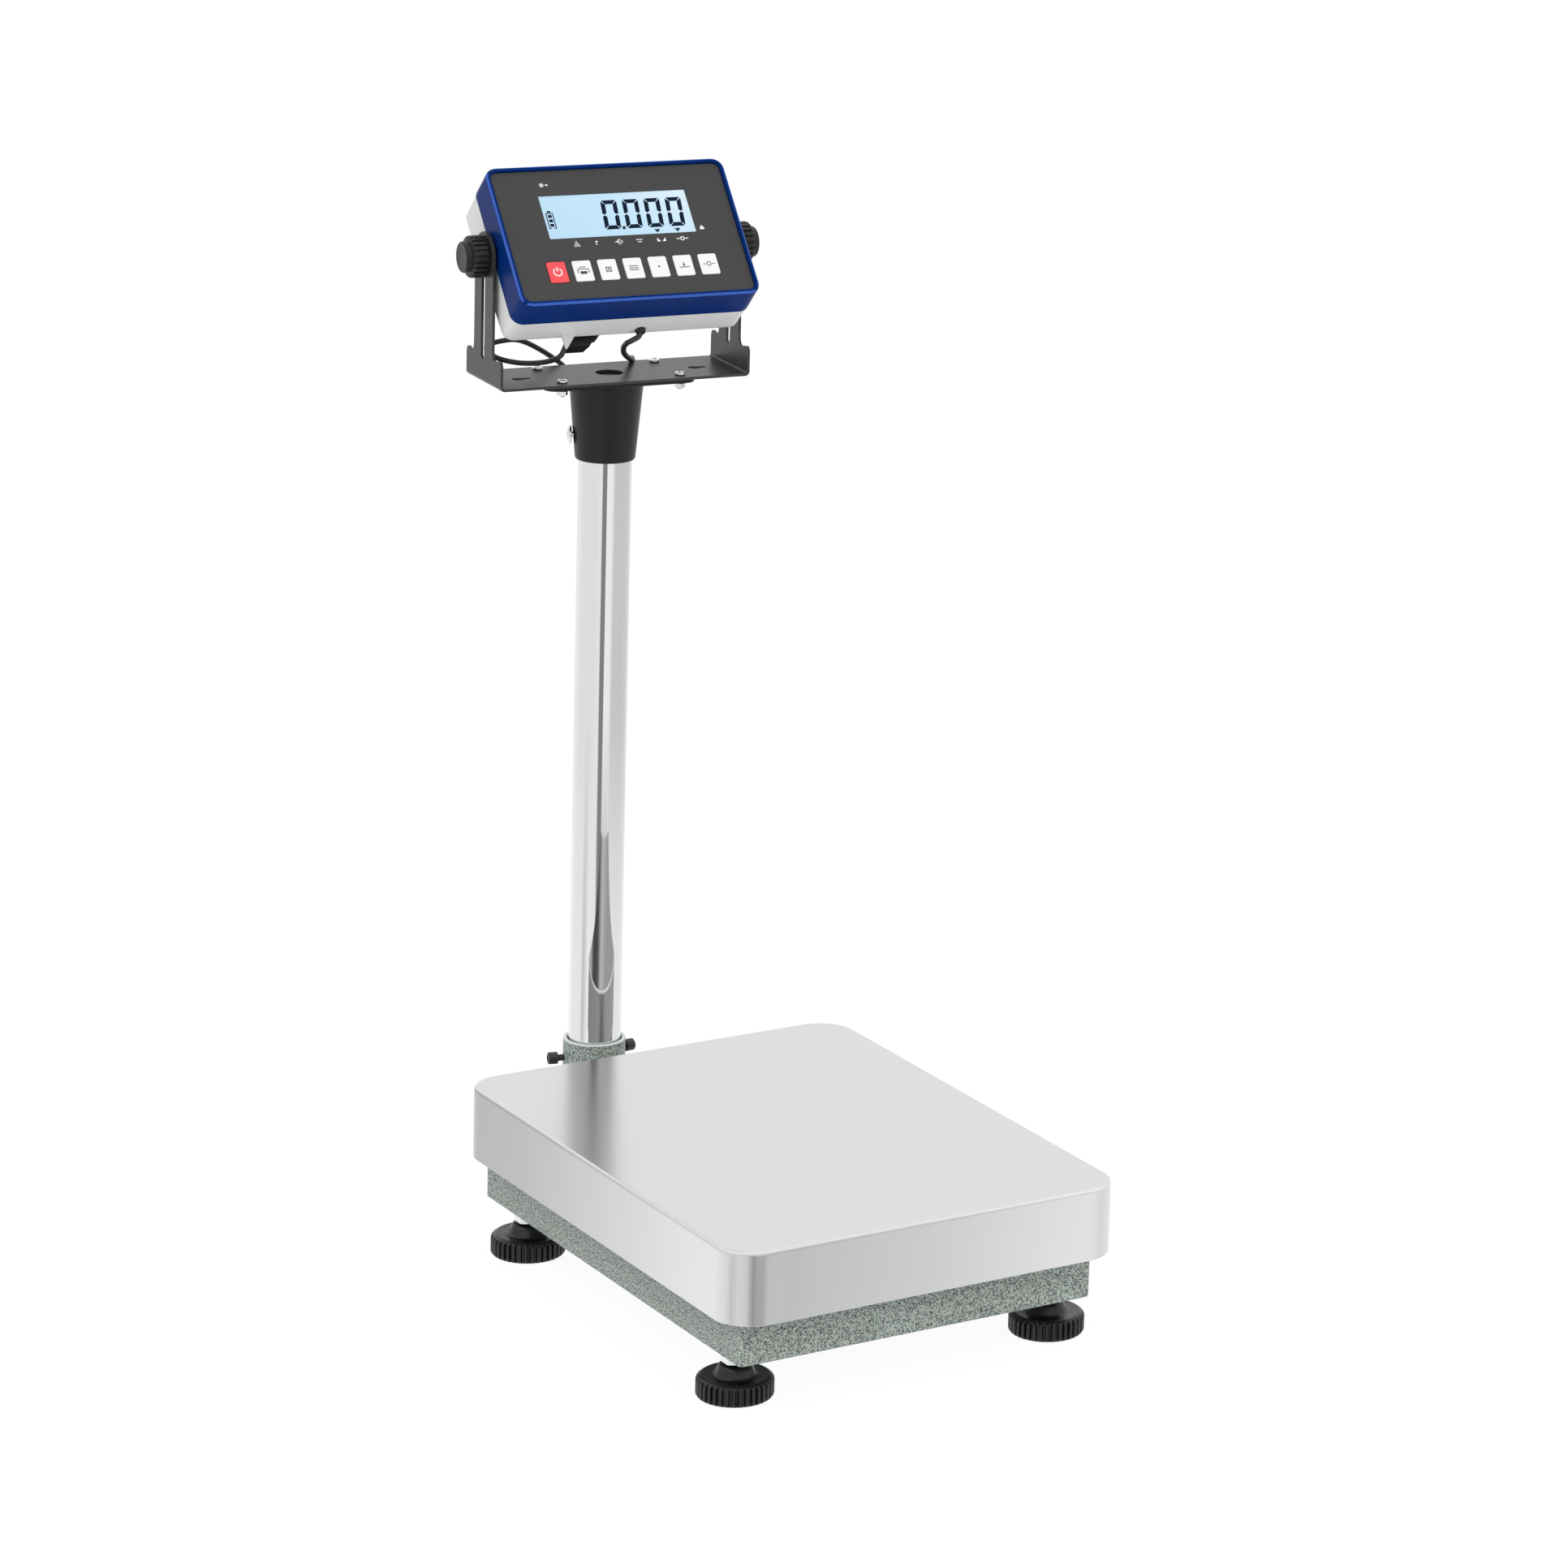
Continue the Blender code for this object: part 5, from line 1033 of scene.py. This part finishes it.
CR, LR = 0.0019, 0.0020
start = IND @ Vector((-0.0402 + 0.0010, 0.0285, -0.0592))
path = [start, H(-0.0425, -0.0178, 0.6153), H(-0.0479, -0.0100, 0.6103), H(-0.0575, -0.0020, 0.6078), H(-0.0676, 0.0050, 0.6077), H(-0.0781, 0.0110, 0.6102), H(-0.0835, 0.0170, 0.6142),
        H(-0.0815, 0.0210, 0.6178), H(-0.0731, 0.0240, 0.6192), H(-0.0600, 0.0280, 0.6191), H(-0.0498, 0.0310, 0.6161), H(-0.0377, 0.0350, 0.6096),
        H(-0.0260, 0.0385, 0.6020), H(-0.0159, 0.0400, 0.5939), H(-0.0020, 0.0402, 0.5790), C(0.0130, 0.0345, 0.5600), C(0.0165, 0.0255, 0.5250), C(0.0152, 0.0215, 0.4800), C(0.0152, 0.0215, 0.3600),
        C(0.0152, 0.0215, 0.2400), C(0.0152, 0.0215, 0.1300), C(0.0172, 0.0225, 0.0900), C(0.0260, 0.0215, 0.0670), C(0.0350, 0.0080, 0.0560), C(0.0385, -0.0200, 0.0490),
        C(0.0380, -0.0600, 0.0460), C(0.0380, -0.0940, 0.0460), C(0.0380, -0.1190, 0.0460), C(0.0380, -0.1590, 0.0470), C(0.0375, -0.1990, 0.0520), C(0.0330, -0.2240, 0.0560), C(0.0206, -0.2310, 0.0582)]
PER_ = 8
full = catmull(path, PER_)


def cable_part(name, i0, i1, rad=CR, pts=None):
    pts = full if pts is None else pts
    bm = sweep(pts[int(i0 * PER_):int(i1 * PER_) + 1], rad, 20)
    ob = to_object(name, bm)
    ob.data.materials.append(M["cable"])
    for p in ob.data.polygons:
        p.use_smooth = True
    ob.data.set_sharp_from_angle(angle=math.radians(50))
    return ob


c_a = cable_part("cell_lead_plug_end", 0, 1.5)
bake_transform(c_a)
c_b = cable_part("cell_lead_slack", 1.5, 6)
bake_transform(c_b)
c_c = cable_part("cell_lead_column", 6, 18)
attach(c_c, "column")
c_d = cable_part("cell_lead_base", 18, len(path) - 1)
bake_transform(c_d)
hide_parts("cell_cable")

lead = [IND @ Vector((0.0113, 0.0130, -0.0598)), IND @ Vector((0.0105, 0.0160, -0.0636)), H(0.0076, -0.0255, 0.6247), H(0.0064, -0.0205, 0.6221), H(0.0077, -0.0120, 0.6175), H(0.0118, -0.0020, 0.6120),
        H(0.0174, 0.0080, 0.6072), H(0.0237, 0.0180, 0.6030), H(0.0290, 0.0260, 0.6000), H(0.0338, 0.0350, 0.5985), H(0.0358, 0.0389, 0.5935), H(0.0330, 0.0421, 0.5830), H(0.0270, 0.0436, 0.5700),
        H(0.0200, 0.0441, 0.5590)]
lf = catmull(lead, PER_)
l_a = cable_part("power_lead_head_end", 0, 4, LR, lf)
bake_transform(l_a)
l_b = cable_part("power_lead_slack", 4, 7, LR, lf)
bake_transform(l_b)
l_c = cable_part("power_lead_tail", 7, len(lead) - 1, LR, lf)
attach(l_c, "column")
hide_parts("power_lead")
gm = IND @ along((0, 0, -1), (0.0113, 0.0130, 0))
piece("lead_grommet", turned([(0.0021, 0.0600), (0.0021, 0.0632), (0.0026, 0.0634), (0.0033, 0.0628), (0.0038, 0.0612), (0.0038, 0.0600)], 28), M["black"], "indicator", (), gm)

# ------------------------------------------------------------------ carried-over CAD nodes: finish only
KEEP = {"load_cell": "cell", "cell_bolt_base_front": "zinc", "cell_bolt_base_rear": "zinc", "cell_bolt_top_front": "zinc", "cell_bolt_top_rear": "zinc",
        "platform_spider": "spider", "tray_pad_fl": "rubber", "tray_pad_fr": "rubber", "tray_pad_bl": "rubber", "tray_pad_br": "rubber",
        "main_board": "board", "battery_pack": "wrap"}
for n_, mt in KEEP.items():
    o = NODES[n_]
    o.data.materials.clear()
    o.data.materials.append(M[mt])
    w = o.modifiers.new("weld", "WELD")
    w.merge_threshold = 0.00001
    bv = o.modifiers.new("edge", "BEVEL")
    bv.width, bv.segments, bv.limit_method, bv.angle_limit = 0.0003, 2, "ANGLE", math.radians(40)

# ================================================================== floor, world, lights, camera
bpy.ops.mesh.primitive_grid_add(x_subdivisions=4, y_subdivisions=4, size=60, location=(0, 0, -0.0002))
floor = bpy.context.object
floor.name = "studio_floor"
fm_, nt, b = new_mat("pale_floor", (0.93, 0.93, 0.93), 0.9, 0.0, 0.0)
nn = noise(nt, coords(nt), 3, 2)
link(nt, mix(nt, nn, (0.595, 0.595, 0.595), (0.605, 0.605, 0.605)), b.inputs["Base Color"])
lf_ = node(nt, "ShaderNodeLightPath")
seen = lf_.outputs["Is Camera Ray"]
link(nt, mix(nt, seen, mix(nt, nn, (0.595, 0.595, 0.595), (0.605, 0.605, 0.605)), mix(nt, nn, (0.075, 0.075, 0.075), (0.080, 0.080, 0.080))), b.inputs["Base Color"])
b.inputs["Emission Color"].default_value = (1, 1, 1, 1)
link(nt, maths(nt, "MULTIPLY_ADD", seen, 0.50, 0.44), b.inputs["Emission Strength"])
floor.data.materials.append(fm_)
floor.visible_glossy = False

world = bpy.data.worlds.new("studio")
bpy.context.scene.world = world
world.use_nodes = True
nt = world.node_tree
nt.nodes.clear()
out = node(nt, "ShaderNodeOutputWorld")
bg_seen = node(nt, "ShaderNodeBackground")
bg_seen.inputs["Color"].default_value = (1, 1, 1, 1)
bg_seen.inputs["Strength"].default_value = 1.0
bg_soft = node(nt, "ShaderNodeBackground")
bg_gloss = node(nt, "ShaderNodeBackground")
tc = node(nt, "ShaderNodeTexCoord")
sp = node(nt, "ShaderNodeSeparateXYZ")
link(nt, tc.outputs["Generated"], sp.inputs[0])
az = maths(nt, "ARCTAN2", sp.outputs[0], sp.outputs[1])
az01 = maths(nt, "WRAP", maths(nt, "DIVIDE", az, 2 * math.pi), 1.0, 0.0)
el = sp.outputs[2]


def az_ramp(stops):
    return ramp(nt, az01, [(a / 360.0, v) for a, v in stops])


# seen level with the column (sine of elevation about -0.24), just above the floor line, and low down near the tray
LEVEL = az_ramp([(0, 0.88), (55, 0.80), (77, 0.66), (92, 0.62), (120, 0.590), (157, 0.60), (164, 0.66), (170, 0.86), (194.5, 0.90), (197, 0.225), (213.5, 0.225), (216.5, 0.80),
                 (224, 0.82), (240, 0.775), (290, 0.775), (312, 0.79), (338, 0.87), (360, 0.88)])
LOWER = az_ramp([(0, 0.95), (40, 0.92), (100, 0.82), (150, 0.84), (166, 0.80), (172, 0.46), (193, 0.46), (197, 0.22), (210, 0.22), (216, 0.84), (245, 0.88), (259, 0.62), (268, 0.58), (276, 0.84),
                 (330, 0.86), (345, 0.95), (360, 0.95)])
UPPER = az_ramp([(0, 0.93), (60, 0.94), (120, 0.86), (150, 0.76), (200, 0.74), (300, 0.70), (345, 0.78), (360, 0.93)])
TWICE = az_ramp([(0, 0.55), (20, 0.58), (34, 0.92), (79, 0.90), (101, 0.82), (118, 0.52), (134, 0.37), (147, 0.39), (160, 0.36), (172, 0.44), (184, 0.60), (192, 0.34), (197, 0.10), (202, 0.012), (218, 0.012),
                 (222, 0.12), (227, 0.45), (233, 0.52), (242, 0.42), (300, 0.50), (335, 0.55), (360, 0.55)])
BOTTOM = az_ramp([(0, 0.95), (60, 0.85), (110, 0.72), (151, 0.95), (160, 0.90), (167, 0.62), (171, 0.50), (204, 0.50), (209, 0.90), (245, 0.90), (257, 0.74), (265, 0.64), (273, 0.80), (282, 0.88),
                  (340, 0.98), (360, 0.95)])
f_bot = ramp(nt, maths(nt, "MULTIPLY", el, -1.0), [(0.32, 0.0), (0.335, 1.0)])
f_low = ramp(nt, maths(nt, "MULTIPLY", el, -1.0), [(0.265, 0.0), (0.305, 1.0)])
f_up = ramp(nt, maths(nt, "ADD", el, 0.5), [(0.42, 0.0), (0.50, 1.0)])
f_top = ramp(nt, el, [(0.42, 0.0), (0.66, 1.0)])
gl = mix(nt, f_low, LEVEL, LOWER)
gl = mix(nt, f_bot, gl, BOTTOM)
gl = mix(nt, f_up, gl, UPPER)
gl = mix(nt, f_top, gl, (1.02, 1.02, 1.02))
lp = node(nt, "ShaderNodeLightPath")
again = mix(nt, f_top, mix(nt, f_up, (0.36, 0.36, 0.36), TWICE), (1.02, 1.02, 1.02))
gl = mix(nt, maths(nt, "GREATER_THAN", lp.outputs["Glossy Depth"], 1.5), gl, again)
link(nt, gl, bg_gloss.inputs["Color"])
link(nt, ramp(nt, maths(nt, "MULTIPLY_ADD", el, 0.5, 0.5), [(0.0, 0.70), (0.5, 0.80), (0.75, 1.0), (1.0, 1.12)]), bg_soft.inputs["Color"])
m1 = node(nt, "ShaderNodeMixShader")
link(nt, lp.outputs["Is Glossy Ray"], m1.inputs[0])
link(nt, bg_soft.outputs[0], m1.inputs[1])
link(nt, bg_gloss.outputs[0], m1.inputs[2])
m2 = node(nt, "ShaderNodeMixShader")
link(nt, lp.outputs["Is Camera Ray"], m2.inputs[0])
link(nt, m1.outputs[0], m2.inputs[1])
link(nt, bg_seen.outputs[0], m2.inputs[2])
link(nt, m2.outputs[0], out.inputs["Surface"])


def area(name, loc, target, size, power, glossy=False):
    L = bpy.data.lights.new(name, "AREA")
    L.shape = "RECTANGLE"
    L.size, L.size_y = size
    L.energy = power
    o = bpy.data.objects.new(name, L)
    bpy.context.scene.collection.objects.link(o)
    o.location = loc
    o.rotation_mode = "QUATERNION"
    o.rotation_quaternion = (Vector(target) - Vector(loc)).to_track_quat("-Z", "Y")
    o.visible_glossy = glossy
    return o


area("key_soft", (-1.6, -1.4, 2.2), (0, 0, 0.35), (1.4, 1.4), 16)
area("fill_soft", (1.8, -1.2, 1.5), (0, 0, 0.35), (1.6, 1.6), 7)

cd = bpy.data.cameras.new("photo_camera")
cam = bpy.data.objects.new("photo_camera", cd)
bpy.context.scene.collection.objects.link(cam)
bpy.context.scene.camera = cam
CAM_AZ, CAM_PITCH, CAM_ROLL = math.radians(37.128738), math.radians(11.878771), math.radians(-3.052221)
CAM_POS = Vector((-1.872787, TY - 3.3113, 1.45975))
fwd = Vector((math.sin(CAM_AZ) * math.cos(CAM_PITCH), math.cos(CAM_AZ) * math.cos(CAM_PITCH), -math.sin(CAM_PITCH)))
r_ = fwd.cross(EZ).normalized()
d_ = fwd.cross(r_).normalized()
rx = r_ * math.cos(CAM_ROLL) + d_ * math.sin(CAM_ROLL)
dy = -r_ * math.sin(CAM_ROLL) + d_ * math.cos(CAM_ROLL)
cam.matrix_world = basis(rx, -dy, -fwd, CAM_POS)
cd.sensor_width = 36.0
cd.sensor_fit = "HORIZONTAL"
cd.lens = 7054.963083 * 36.0 / 1932.0
cd.clip_start, cd.clip_end = 0.05, 200.0
for path_, val in (("shift_x", (966 - 1919.866315) / 1932.0), ("shift_y", (485.762571 - 966) / 1932.0)):
    dr = cd.driver_add(path_).driver
    dr.type = "SCRIPTED"
    v = dr.variables.new()
    v.name = "cx"
    v.type = "TRANSFORMS"
    v.targets[0].id = cam
    v.targets[0].transform_type = "LOC_X"
    v.targets[0].transform_space = "WORLD_SPACE"
    dr.expression = f"{val:.6f} if abs(cx - ({CAM_POS.x:.6f})) < 0.0005 else 0.0"

vs_ = bpy.context.scene.view_settings
vs_.view_transform = "Standard"
vs_.look = "None"
vs_.exposure = 0.0
vs_.gamma = 1.0
